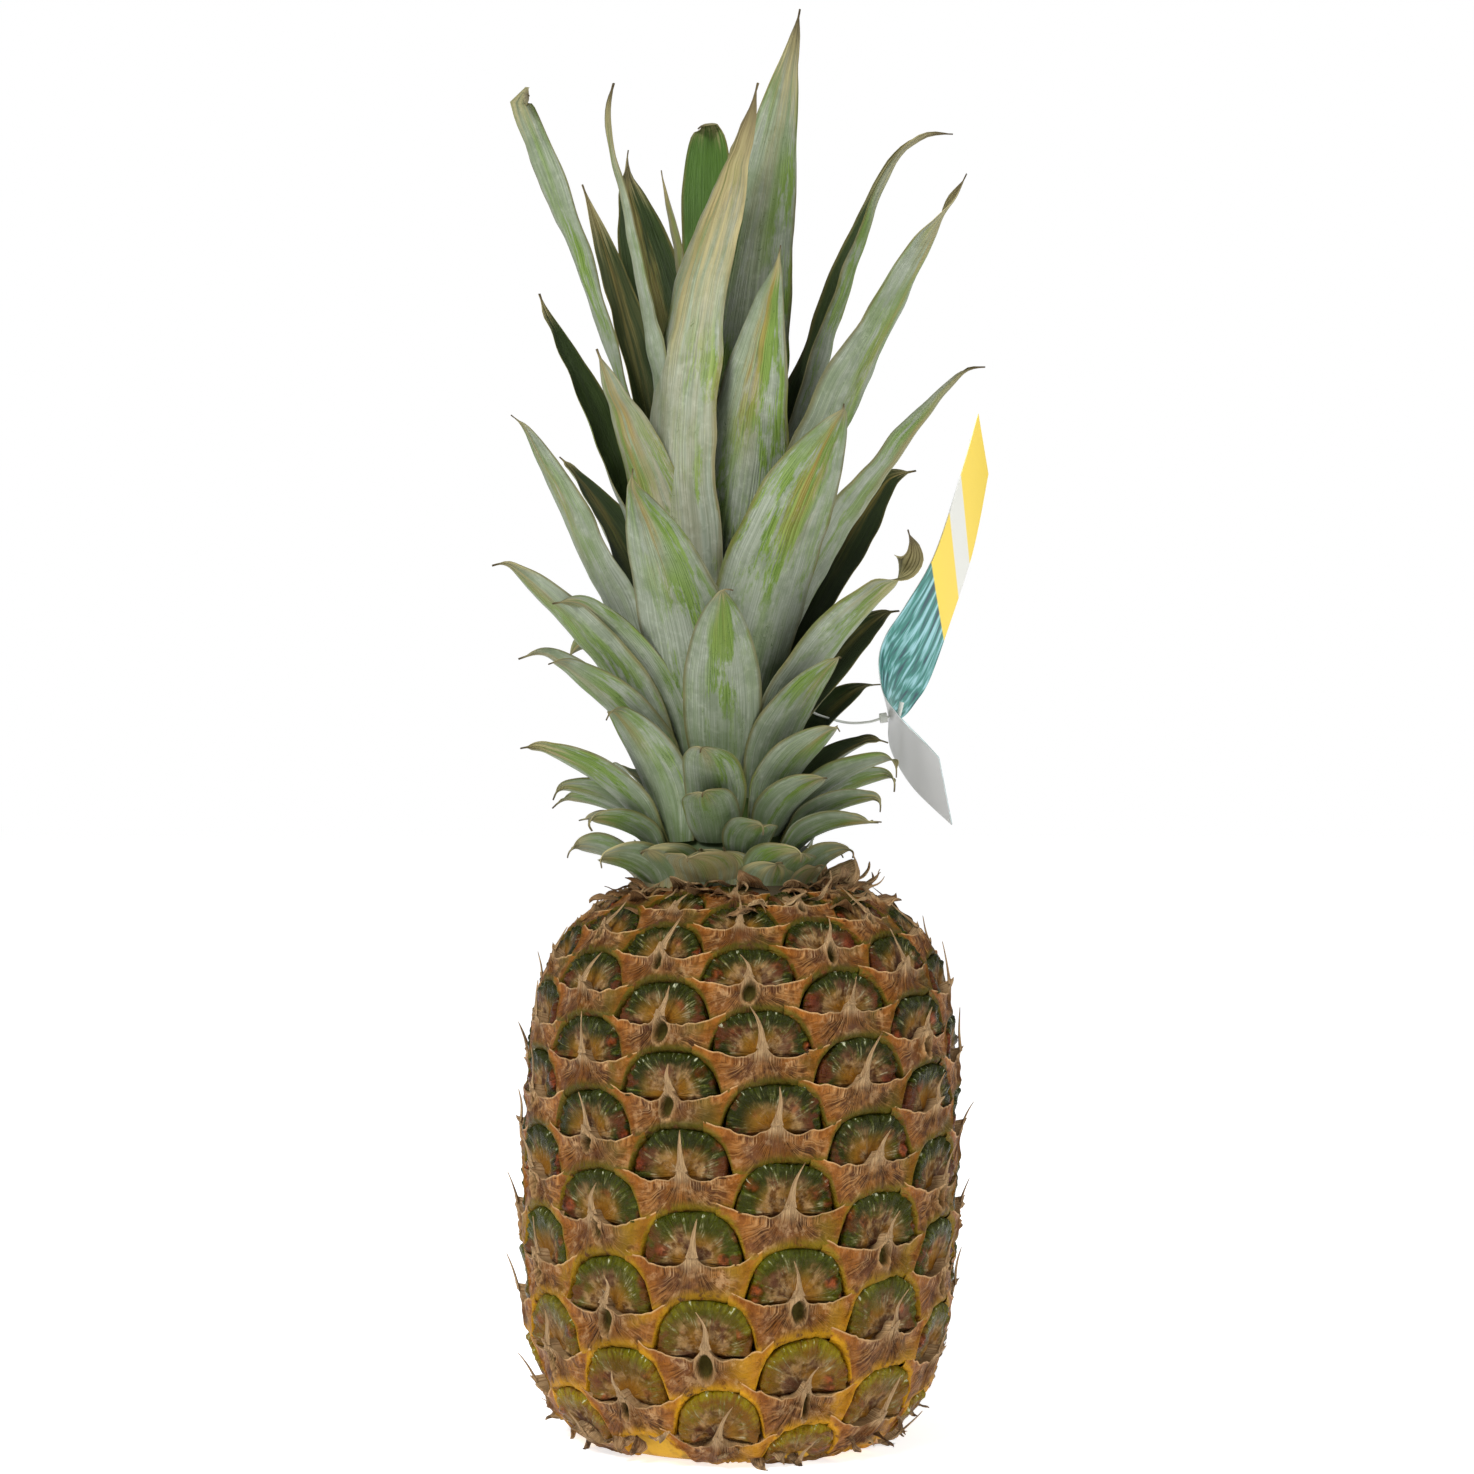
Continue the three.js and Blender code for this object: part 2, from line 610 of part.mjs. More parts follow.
function tagGeometry(swell = 0) {
  const edges = [0, 1].map((side) => {
    const curve = new THREE.CatmullRomCurve3(vectors(TAG_EDGES.map((pair) => pair[side])));
    return curve.getPoints(TAG_STEPS);
  });
  const half = TAG_THICKNESS / 2 + swell;
  const rings = edges[0].map((near, j) => {
    const far = edges[1][j];
    const width = far.clone().sub(near).normalize();
    const middle = (i) => edges[0][i].clone().add(edges[1][i]);
    const along = middle(Math.min(j + 1, TAG_STEPS)).sub(middle(Math.max(j - 1, 0))).normalize();
    const normal = new THREE.Vector3().crossVectors(width, along).normalize();
    const end = (j === TAG_STEPS ? swell : 0) - (j === 0 ? swell : 0);
    const ends = [near.clone().addScaledVector(width, -swell)];
    ends.push(far.clone().addScaledVector(width, swell));
    ends.forEach((point) => point.addScaledVector(along, end));
    const outer = ends.map((point) => point.clone().addScaledVector(normal, half));
    const inner = ends.map((point) => point.clone().addScaledVector(normal, -half));
    return { outer, inner };
  });
  return skinSheet(rings, 1);
}

// A round rod with the given number of sides along a list of points
function rod(points, radius, sides) {
  const curve = new THREE.CatmullRomCurve3(points);
  const steps = Math.round(points.length * 1.5);
  const frames = curve.computeFrenetFrames(steps, false);
  const rings = curve.getPoints(steps).map((centre, j) => {
    return Array.from({ length: sides }, (_, k) => {
      const turn = (2 * Math.PI * k) / sides;
      const point = centre.clone().addScaledVector(frames.normals[j], radius * Math.cos(turn));
      return point.addScaledVector(frames.binormals[j], radius * Math.sin(turn));
    });
  });
  return skinRings(rings);
}

function pinSolid(swell = 0) {
  const route = vectors(PIN_ROUTE);
  const [head, knob] = route;
  const foot = route[route.length - 1];
  const bar = (centre, direction, length) => {
    const reach = direction.clone().normalize().multiplyScalar(length / 2 + swell);
    return [centre.clone().sub(reach), centre, centre.clone().add(reach)];
  };
  const upright = new THREE.Vector3(0.25, 0, 1);
  const sideways = new THREE.Vector3(0.2, 1, -0.1);
  const knobAxis = knob.clone().sub(head);
  const pieces = [
    rod(route, PIN_RADIUS + swell, 5),
    rod(bar(foot, sideways, PIN_BAR_LENGTH), PIN_BAR_RADIUS + swell, 5),
    rod(bar(head, upright, PIN_BAR_LENGTH), PIN_BAR_RADIUS + swell, 5),
    rod(bar(knob, knobAxis, PIN_KNOB_LENGTH), PIN_KNOB_SIZE / 2 + swell, 7),
  ];
  return pieces.map(solidOf).reduce((whole, piece) => whole.add(piece));
}

// Scene graph

const group = new THREE.Group();

function addPiece(name, geometry, color, roughness) {
  const material = new THREE.MeshStandardMaterial({ color, roughness, metalness: 0 });
  const mesh = new THREE.Mesh(geometry, material);
  mesh.name = name;
  group.add(mesh);
}

function addCrown() {
  const low = { sink: COLLAR_SINK, wide: COLLAR_WIDTH_FACTOR };
  const collar = COLLAR_LEAVES.map((leaf) => ({ ...leaf, ...low }));
  const grown = [...collar, ...HEART_LEAVES.map((leaf) => ({ ...leaf, sink: HEART_SINK }))];
  const blades = grown.map((leaf) => solidOf(bladeGeometry(leaf)));
  const stem = blades.reduce((whole, blade) => whole.add(blade), stemSolid());
  const swollen = grown.map((leaf) => solidOf(bladeGeometry(leaf, GAP)));
  swollen.push(pinSolid(GAP), solidOf(tagGeometry(GAP)));
  let taken = swollen.reduce((all, one) => all.add(one), stemSolid(GAP));
  addPiece('crown_stem', geometryOf(stem), COLOURS.stem, 0.8);
  LEAVES.forEach((leaf, index) => {
    const kept = largestBody(solidOf(bladeGeometry(leaf)).subtract(taken));
    const name = `leaf_${String(index + 1).padStart(2, '0')}`;
    addPiece(name, geometryOf(kept), COLOURS.leaf, 0.7);
    taken = taken.add(solidOf(bladeGeometry(leaf, GAP)));
  });
}

addPiece('fruit', fruitGeometry(), COLOURS.fruit, 0.75);
addCrown();
addPiece('tag', geometryOf(solidOf(tagGeometry()).subtract(pinSolid(GAP))), COLOURS.tag, 0.4);
addPiece('tag_pin', geometryOf(pinSolid()), COLOURS.pin, 0.5);

export default group;
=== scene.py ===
"""Looks of a whole pineapple with its crown of leaves and a plain tag.

Lengths are in millimetres in the formulas and become metres in the meshes. +Z is up, the origin is
on the flat base, and azimuth 0 is the front (-Y), 90 the right (+X).
"""

import math

import bpy
import numpy as np
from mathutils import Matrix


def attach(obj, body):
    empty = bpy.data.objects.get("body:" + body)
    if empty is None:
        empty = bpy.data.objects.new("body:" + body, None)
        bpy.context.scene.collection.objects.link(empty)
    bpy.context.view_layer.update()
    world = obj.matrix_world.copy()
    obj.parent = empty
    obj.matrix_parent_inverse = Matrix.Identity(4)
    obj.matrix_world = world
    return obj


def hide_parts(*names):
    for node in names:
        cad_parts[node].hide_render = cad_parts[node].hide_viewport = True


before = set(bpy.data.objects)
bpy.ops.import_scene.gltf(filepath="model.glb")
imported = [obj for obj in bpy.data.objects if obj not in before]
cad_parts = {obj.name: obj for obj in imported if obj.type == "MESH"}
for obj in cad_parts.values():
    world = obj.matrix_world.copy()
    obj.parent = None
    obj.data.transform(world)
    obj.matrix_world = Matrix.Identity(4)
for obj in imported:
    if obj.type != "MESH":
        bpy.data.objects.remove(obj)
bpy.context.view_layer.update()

MM = 0.001

# Fruit: radius and height of its outline, from the edge of the base to the crown
FRUIT_OUTLINE = [
    (34, 0), (41.5, 2.2), (49, 9.5), (54.5, 23), (57.2, 36.8), (58.3, 64), (58, 91),
    (57.3, 105), (55.5, 118.5), (52, 129.3), (46.2, 138), (36, 145.8), (24, 150.4),
]
FRUIT_LEAN = 0.02
FRUIT_LEAN_PIVOT = 85

# Eyes
EYE_COLUMNS = 14
COLUMN_STEP = 360 / EYE_COLUMNS
ROW_SHIFT = 3 / 7
COLUMN_TWIST = 3.5
FIRST_COLUMN = 8.2
ROW_PITCH = 20.35
ROW_PITCH_GROWTH = 0.79
ROW_ZERO_Z = 89.3
TOP_ROW = -4.45
BOTTOM_ROW = 4.1
EYE_WIDTH = 26
EYE_HALF_WIDTH = 13.3
EYE_HEIGHT = 12.7
GROOVE_DEPTH = 4.8
WING_REACH = 18
TUCK = 1.3
BEHIND_LIP_V = (0.9, 0.3)
BEHIND_LIP_HEIGHT = (-4.2, -0.5)
PAPER_VALUES = ("groove", "lip", "slit", "rim", "wing", "ripe", "pale", "dark", "depth")

# Crown
CROWN_X = -4
CROWN_LEAN = -0.05
CROWN_Z = 150
STEM_OUTLINE = [(19.5, 150.8), (19, 155), (15, 168), (11, 184), (7.5, 199), (5, 210), (2, 216)]
LOWEST_TIP = 156
HIGHEST_TIP = 388
LOWEST_FOOT = 152.6
FOOT_SPAN = 60
FOOT_POWER = 0.75
LEAST_BOW = 10
MOST_BOW = 50
BOW_LOSS = 0.2
GAP = 0.35
HEART_SINK = 2.2
BLADE_BASE_WIDTH = 11
BLADE_WIDTH_RATE = 0.16
BLADE_MAX_WIDTH = 27
FOOT_WIDTH = 0.68
FOOT_THICKNESS = 1.7
BLADE_THICKNESS = 0.9
TIP_THICKNESS = 0.4
WIDEST_FOOT_ARC = 1.9
TAPER_POWER = 1.7
SPINE_LENGTH = 2.5
SPINE_WIDTH = 1.6
KEEL = 0.07
BLADE_STEPS = 72
BLADE_COLUMNS = 12
STEM_ROWS = 40
STEM_COLUMNS = 32

# What the blades of the collar share, and what the low scales between them share
COLLAR = dict(sink=-0.5, level=149.2, wide=1.45, full=2.6)
SCALE = dict(sink=-2.5, level=147.6, wide=1.3, full=2.6)
SCALE_COUNT = 13

# Blades of the collar and heart, which belong to the stem, and then the separate ones, in the
# order of their CAD nodes. az, reach and tip place the point of a blade, as in the CAD, and foot
# and level its foot. hook bends its last fifth, belly moves its middle out, twist turns its face,
# cup deepens its channel, wide is a factor on its width, and full keeps it wide for longer. end is
# where its last part starts and the angles by which that bends outward, sways to a side and rolls.
# dry is the share of its dry end, brown how far the whole blade is dry, streak the strength of its
# brown midline, and fresh how bright a green its inner face is.
COLLAR_LEAVES = [
    dict(az=-58, reach=42, tip=158),
    dict(az=-98, reach=45, tip=159, hook=30),
    dict(az=180, reach=38, tip=159),
    dict(az=34, reach=39, tip=160),
    dict(az=-38, reach=35, tip=161),
    dict(az=140, reach=40, tip=160),
    dict(az=-80, reach=33, tip=157),
    dict(az=-16, reach=38, tip=159, brown=0.6),
    dict(az=78, reach=37, tip=159, hook=60),
    dict(az=-140, reach=40, tip=160),
]
HEART_LEAVES = [
    dict(az=-112, reach=9, tip=345, level=213, wide=0.5, brown=0.5, twist=60, end=(0.9, 0, 0, 0)),
    dict(az=100, reach=9, tip=296, level=212, wide=0.5),
]
LEAVES = [
    dict(az=-66, reach=42, tip=167, hook=40),
    dict(az=62, reach=48, tip=167),
    dict(az=16, reach=40, tip=167, full=2.4),
    dict(az=112, reach=46, tip=166),
    dict(az=-120, reach=47, tip=167),
    dict(az=160, reach=46, tip=168),
    dict(az=-165, reach=46, tip=170),
    dict(az=72, reach=48, tip=174),
    dict(az=-104, reach=49, tip=173),
    dict(az=-7, reach=42, tip=176, full=2.6, end=(0.86, 40, 10, 20)),
    dict(az=92, reach=51, tip=179, hook=30),
    dict(az=-82, reach=48, tip=177),
    dict(az=42, reach=43, tip=180, full=2.4),
    dict(az=135, reach=52, tip=178),
    dict(az=72, reach=54, tip=184, hook=30),
    dict(az=-140, reach=52, tip=182),
    dict(az=-70, reach=57, tip=189, level=160, end=(0.82, 30, -20, 60), dry=0.2),
    dict(az=-5, reach=50, tip=188, full=2.4, end=(0.9, 50, 0, 0)),
    dict(az=170, reach=53, tip=190),
    dict(az=45, reach=47, tip=194, full=2.3, end=(0.86, 50, 30, 60)),
    dict(az=104, reach=48, tip=191, twist=20),
    dict(az=-46, reach=42, tip=201, level=162, full=2.2, streak=0.6),
    dict(az=145, reach=56, tip=204),
    dict(az=-155, reach=57, tip=206),
    dict(az=110, reach=48, tip=207, twist=30, wide=1.1),
    dict(az=-62, reach=52, tip=213, full=2.0, streak=0.4),
    dict(az=48, reach=47, tip=213, full=2.0, streak=0.5, end=(0.88, 40, 40, 40)),
    dict(az=-96, reach=53, tip=217, wide=0.85),
    dict(az=-134, reach=57, tip=222),
    dict(az=118, reach=58, tip=227, wide=1.25, twist=34, full=2.2, end=(0.9, 20, 20, 20)),
    dict(az=3, reach=60, tip=229, full=2.0, streak=0.2, end=(0.94, 20, -95, 60)),
    dict(az=172, reach=60, tip=232),
    dict(az=-72, reach=60, tip=239, level=174, dry=0.1, full=2.0, twist=26, end=(0.92, 50, 20, 20)),
    dict(az=-62, reach=45, tip=231, level=180),
    dict(az=62, reach=73, tip=243, dry=0.3, end=(0.72, -20, 60, 200)),
    dict(az=-160, reach=58, tip=250),
    dict(az=-20, reach=58, tip=258, foot=-28, wide=1.18, full=1.9, streak=0.8, end=(0.9, -15, -20, 0)),
    dict(az=156, reach=52, tip=262),
    dict(az=122, reach=67, tip=269, wide=1.2, twist=34, full=2.2, end=(0.86, 20, 30, 20)),
    dict(az=-130, reach=53, tip=270, wide=1.1, twist=10, full=2.4),
    dict(az=37, reach=63, tip=277, foot=22, full=3.0, streak=1.0, end=(0.93, 30, 30, 10)),
    dict(az=-82, reach=51, tip=278, level=182, belly=5, wide=0.85, twist=32, full=2.0,
         end=(0.92, 20, 10, 20)),
    dict(az=172, reach=56, tip=288),
    dict(az=84, reach=76, tip=293, twist=-14, cup=1.5, dry=0.14, end=(0.93, 50, 20, 60)),
    dict(az=-50, reach=36, tip=293, brown=0.3, streak=1.0, full=2.0, end=(0.85, -20, 15, 30)),
    dict(az=-92, reach=44, tip=311, level=190, wide=0.9, twist=-44, cup=1.2, streak=0),
    dict(az=31, reach=46, tip=318, foot=-14, wide=1.08, full=1.9, streak=0.9, end=(0.92, -10, 10, 0)),
    dict(az=62, reach=82, tip=338, wide=1.12, streak=0.6, full=2.3, end=(0.86, 10, 12, 50), dry=0.12),
    dict(az=-100, reach=53, tip=381, foot=-145, level=204, wide=0.34, twist=140, full=9,
         end=(0.9, 60, -125, 0, 0.92), dry=0.11, streak=0),
    dict(az=98, reach=73, tip=357, level=201, hook=70, wide=1.1, twist=4, cup=2.0, dry=0.14),
    dict(az=-48, reach=34, tip=366, foot=-72, level=208, wide=0.75, dry=0.15, full=1.3,
         end=(0.86, -30, 40, 60), streak=0.2),
    dict(az=51, reach=26, tip=365, foot=-48, belly=17, level=205, wide=1.15, full=2.7, dry=0.3,
         brown=0.2, streak=1.0, end=(0.9, 0, 10, 20)),
    dict(az=-150, reach=40, tip=356, level=208, wide=1.1, full=2.6, dry=0.08, end=(0.9, 0, 20, 50)),
    dict(az=-96, reach=30, tip=341, foot=-88, level=207, wide=0.8, twist=-72, full=1.6, brown=0.1,
         dry=0.1, end=(0.92, 0, 0, 0)),
    dict(az=172, reach=32, tip=369, level=211, wide=0.56, full=12, streak=0, fresh=1, dry=0.06,
         end=(0.94, -130, 20, 30, 0.965)),
    dict(az=90, reach=32, tip=388, foot=10, level=213, wide=1.15, streak=0.3, full=1.8, dry=0.13),
]

# Dry scraps, spread round the fruit by the golden angle
GOLDEN_ANGLE = 137.5
FLAT_SCRAPS = 36
UPRIGHT_SCRAPS = 20
FIBRE_SCRAPS = 30
SKIRT_SCRAPS = 44

# Tag: points of its near edge and of its far edge, from its top to its bottom
TAG_EDGES = [
    ((66.6, 30, 281), (70.6, 46, 265.2)),
    ((61.9, 27, 264.6), (66, 43, 243)),
    ((54, 21, 241), (58.8, 37, 221.5)),
    ((45.8, 17, 226.7), (53, 32, 206.1)),
    ((40, 13, 218), (48.8, 28, 199.6)),
    ((37.9, 9, 210.7), (45.4, 26, 195.7)),
    ((38.9, 5, 202.4), (42.3, 27, 194.8)),
    ((42.1, 4, 197.2), (41.4, 26, 190.5)),
    ((45.7, 5, 193.1), (42.8, 23, 184.5)),
    ((50.2, 6, 188.7), (48.4, 21, 175.5)),
    ((54.3, 7, 184.3), (58.7, 20, 165.6)),
]
TAG_THICKNESS = 0.4
PIN_ROUTE = [
    (43.6, 15, 196), (39.4, 14.6, 195.3), (35, 12.6, 194.1),
    (29, 10.5, 194), (22, 8.6, 195.8), (18.6, 8, 197.4),
]
PIN_RADIUS = 0.35
PIN_BAR_RADIUS = 0.7
PIN_BAR_LENGTH = 7.5
PIN_KNOB_RADIUS = 1.4
PIN_KNOB_LENGTH = 2

# Light: the surrounding light, the floor's own, and for each lamp its place and size in metres
# and its power. They shine at a point above the base, also in metres.
AMBIENT = 0.31
FLOOR_SIZE = 12
FLOOR_WHITE = 0.92
FLOOR_GLOW = 0.7
LIGHT_AIM = (0, 0, 0.15)
LIGHTS = (
    ("key", (-0.8, -1.3, 1.5), 0.7, 39),
    ("side", (1.4, -0.9, 0.9), 0.8, 10),
)

# Camera
CAMERA_DISTANCE = 930
CAMERA_HEIGHT = 190
CAMERA_X = -1.1
CAMERA_LENS = 83.4
CAMERA_SENSOR = 36


# Numbers


def mix(a, b, t):
    """a at t 0 and b at t 1, in a straight line."""
    return a + (b - a) * t


def smooth(x, start, end):
    """0 before start, 1 after end, and 3t^2 - 2t^3 in between."""
    t = np.clip((x - start) / (end - start), 0, 1)
    return t * t * (3 - 2 * t)


def chance(n):
    """A repeatable number from 0 to 1: the fraction of a large sine of n."""
    x = np.sin(np.asarray(n, float) * 12.9898 + 4.1414) * 43758.5453
    return x - np.floor(x)


def bump(x, centre, width):
    """A bell: 1 at the centre and near 0 beyond one and a half widths."""
    return np.exp(-(((x - centre) / width) ** 2))


def noise(points, scale):
    """Smooth noise from -1 to 1 over (..., 3) points: random corners of a lattice of the given
    spacing, blended by 3t^2 - 2t^3 along each axis."""
    p = np.asarray(points, float) / scale
    cell = np.floor(p)
    t = p - cell
    t = t * t * (3 - 2 * t)
    blend = 0
    for corner in range(8):
        step = np.array([corner & 1, (corner >> 1) & 1, corner >> 2])
        at = cell + step
        value = chance(at[..., 0] * 1.37 + at[..., 1] * 57.31 + at[..., 2] * 113.97)
        weight = np.prod(np.where(step, t, 1 - t), axis=-1)
        blend = blend + value * weight
    return 2 * blend - 1


def unit(v):
    """The vectors along v with length 1."""
    return v / np.maximum(np.linalg.norm(v, axis=-1, keepdims=True), 1e-9)


def outward(azimuth):
    """Level unit vectors that point out at the azimuths, in degrees."""
    a = np.radians(azimuth)
    return np.stack([np.sin(a), -np.cos(a), np.zeros_like(a)], -1)


# Meshes


def grid_faces(rows, columns, closed=False):
    """Quads between the points of a grid, with the last column joined to the first if closed."""
    i = np.arange(rows - 1)[:, None]
    j = np.arange(columns if closed else columns - 1)[None, :]
    a = i * columns + j
    b = i * columns + (j + 1) % columns
    return np.stack([a, b, b + columns, a + columns], -1).reshape(-1, 4)


def add_mesh(name, points, faces, values, material, slot, uv=None, crease=50):
    """A mesh piece from points in mm, quads, and a dict of one number per point and attribute.
    It rides on the part's root. Edges sharper than the crease angle, in degrees, stay crisp."""
    mesh = bpy.data.meshes.new(name)
    points = np.asarray(points, np.float32).reshape(-1, 3) * MM
    faces = np.asarray(faces, np.int32)
    mesh.vertices.add(len(points))
    mesh.vertices.foreach_set("co", points.ravel())
    mesh.loops.add(faces.size)
    mesh.loops.foreach_set("vertex_index", faces.ravel())
    mesh.polygons.add(len(faces))
    mesh.polygons.foreach_set("loop_start", np.arange(0, faces.size, faces.shape[1], dtype=np.int32))
    mesh.update(calc_edges=True)
    for key, value in values.items():
        layer = mesh.attributes.new(key, "FLOAT", "POINT")
        layer.data.foreach_set("value", np.asarray(value, np.float32).ravel())
    if uv is not None:
        layer = mesh.uv_layers.new(name="UVMap")
        uv = np.asarray(uv, np.float32).reshape(-1, 2)
        layer.data.foreach_set("uv", uv[faces.ravel()].ravel())
    mesh.polygons.foreach_set("use_smooth", np.ones(len(faces), bool))
    mesh.set_sharp_from_angle(angle=math.radians(crease))
    mesh.materials.append(material)
    piece = bpy.data.objects.new(name, mesh)
    bpy.context.scene.collection.objects.link(piece)
    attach(piece, "root")
    return piece


def many_grids(grids, closed=False):
    """The quads of several grids of one size that lie one after the other."""
    count, rows, columns = grids.shape[:3]
    one = grid_faces(rows, columns, closed)
    return (one[None] + (np.arange(count) * rows * columns)[:, None, None]).reshape(-1, 4)


def joined(parts):
    """Several meshes, each its points and quads, as one."""
    firsts = np.cumsum([0] + [len(points) for points, _ in parts])
    faces = [quads + first for (_, quads), first in zip(parts, firsts)]
    return np.concatenate([points for points, _ in parts]), np.concatenate(faces)


def shell_faces(rows, columns):
    """Quads of a thin closed shell: an outer grid, an inner grid turned over, and four rims."""
    outer = grid_faces(rows, columns)
    size = rows * columns
    inner = outer[:, ::-1] + size
    left = np.arange(rows) * columns
    right = left + columns - 1
    foot = np.arange(columns)
    head = foot + (rows - 1) * columns
    rims = []
    for edge, turned in ((left, True), (right, False), (foot, False), (head, True)):
        a, b = edge[:-1], edge[1:]
        rim = np.stack([b, a, a + size, b + size] if turned else [a, b, b + size, a + size], -1)
        rims.append(rim)
    return np.concatenate([outer, inner, *[rim[:, ::-1] for rim in rims]])


# Fruit surface


def spline(points, samples):
    """Points along a uniform Catmull-Rom curve through the given points, dense in each span."""
    p = np.asarray(points, float)
    t = np.linspace(0, len(p) - 1, samples)
    i = np.minimum(t.astype(int), len(p) - 2)
    w = (t - i)[:, None]
    p0, p1 = p[np.maximum(i - 1, 0)], p[i]
    p2, p3 = p[i + 1], p[np.minimum(i + 2, len(p) - 1)]
    v0, v1 = (p2 - p0) / 2, (p3 - p1) / 2
    cubic = (2 * p1 - 2 * p2 + v0 + v1) * w**3
    return cubic + (-3 * p1 + 3 * p2 - 2 * v0 - v1) * w**2 + v0 * w + p1


outline = spline(FRUIT_OUTLINE, 4000)
outline_d = np.concatenate([[0], np.cumsum(np.linalg.norm(np.diff(outline, axis=0), axis=1))])
outline_length = outline_d[-1]
tangent = unit(np.gradient(outline, axis=0))
row_zero_d = float(np.interp(ROW_ZERO_Z, outline[:, 1], outline_d))


def fruit_point(azimuth, d, height):
    """A point of the fruit: the outline at distance d from the base's edge, moved out by height
    along its normal and turned to the azimuth."""
    r = np.interp(d, outline_d, outline[:, 0])
    z = np.interp(d, outline_d, outline[:, 1])
    tr = np.interp(d, outline_d, tangent[:, 0])
    tz = np.interp(d, outline_d, tangent[:, 1])
    point = outward(azimuth) * (r + tz * height)[..., None]
    point[..., 0] += FRUIT_LEAN * (z - FRUIT_LEAN_PIVOT)
    point[..., 2] = np.maximum(z - tr * height, 0.05)
    return point


def fruit_eyes():
    """Column, row, azimuth and distance of each eye, from the spiral of the columns."""
    eyes = []
    for column in range(EYE_COLUMNS):
        shift = ROW_SHIFT * column
        for j in range(math.ceil(TOP_ROW - shift), math.floor(BOTTOM_ROW - shift) + 1):
            eyes.append((column, j + shift))
    column, row = np.array(eyes).T
    d = row_zero_d - ROW_PITCH * row - ROW_PITCH_GROWTH * row * row
    azimuth = COLUMN_STEP * column + COLUMN_TWIST * row + FIRST_COLUMN
    tall = (ROW_PITCH + 2 * ROW_PITCH_GROWTH * row) / ROW_PITCH
    return dict(row=row, azimuth=azimuth, d=d, tall=tall, index=np.arange(len(row)))


eyes = fruit_eyes()


def eye_surface(eye, u, v, height):
    """Points of one grid per eye. u is mm across and v mm down from the eye's centre, both
    stretched to the size of its cell; height is above the outline."""
    shape = (-1, 1, 1)
    azimuth = eye["azimuth"].reshape(shape) + u * (COLUMN_STEP / EYE_WIDTH)
    d = eye["d"].reshape(shape) - v * eye["tall"].reshape(shape)
    small = np.clip(np.interp(d, outline_d, outline[:, 0]) / 50, 0.45, 1)
    return fruit_point(azimuth, np.clip(d, 0, outline_length), height * small)


def ripeness(points):
    """1 near the base and 0 above the middle of the fruit, shifted by slow noise."""
    return smooth(points[..., 2] + 12 * noise(points, 30), 95, 12)


def build_core(material):
    """The floor of the grooves: the outline sunk by the groove depth, closed by a flat base and
    a flat top. Its sink fades out over the lowest and highest few mm."""
    rows, columns = 110, 168
    d = np.linspace(0, outline_length, rows)[:, None]
    azimuth = (np.arange(columns) * 360 / columns)[None, :]
    z = np.interp(d, outline_d, outline[:, 1])
    fade = smooth(z, 0, 9) * (1 - smooth(z, 147, 150))
    points = fruit_point(azimuth + 0 * d, d + 0 * azimuth, (-GROOVE_DEPTH * fade) + 0 * azimuth)

    def drawn_in(ring, share):
        """The ring drawn in to its middle by the share."""
        middle = ring.mean(0)
        return middle + (ring - middle) * share

    low = [drawn_in(points[0], share) for share in (0.02, 0.6)]
    high = [drawn_in(points[-1], share) for share in (0.5, 0.02)]
    whole = np.stack([*low, *points, *high])
    faces = grid_faces(len(whole), columns, closed=True)
    values = dict(under=smooth(whole[..., 2], 1.5, 0.1), ripe=ripeness(whole))
    return add_mesh("fruit_core", whole, faces, values, material, "rind")


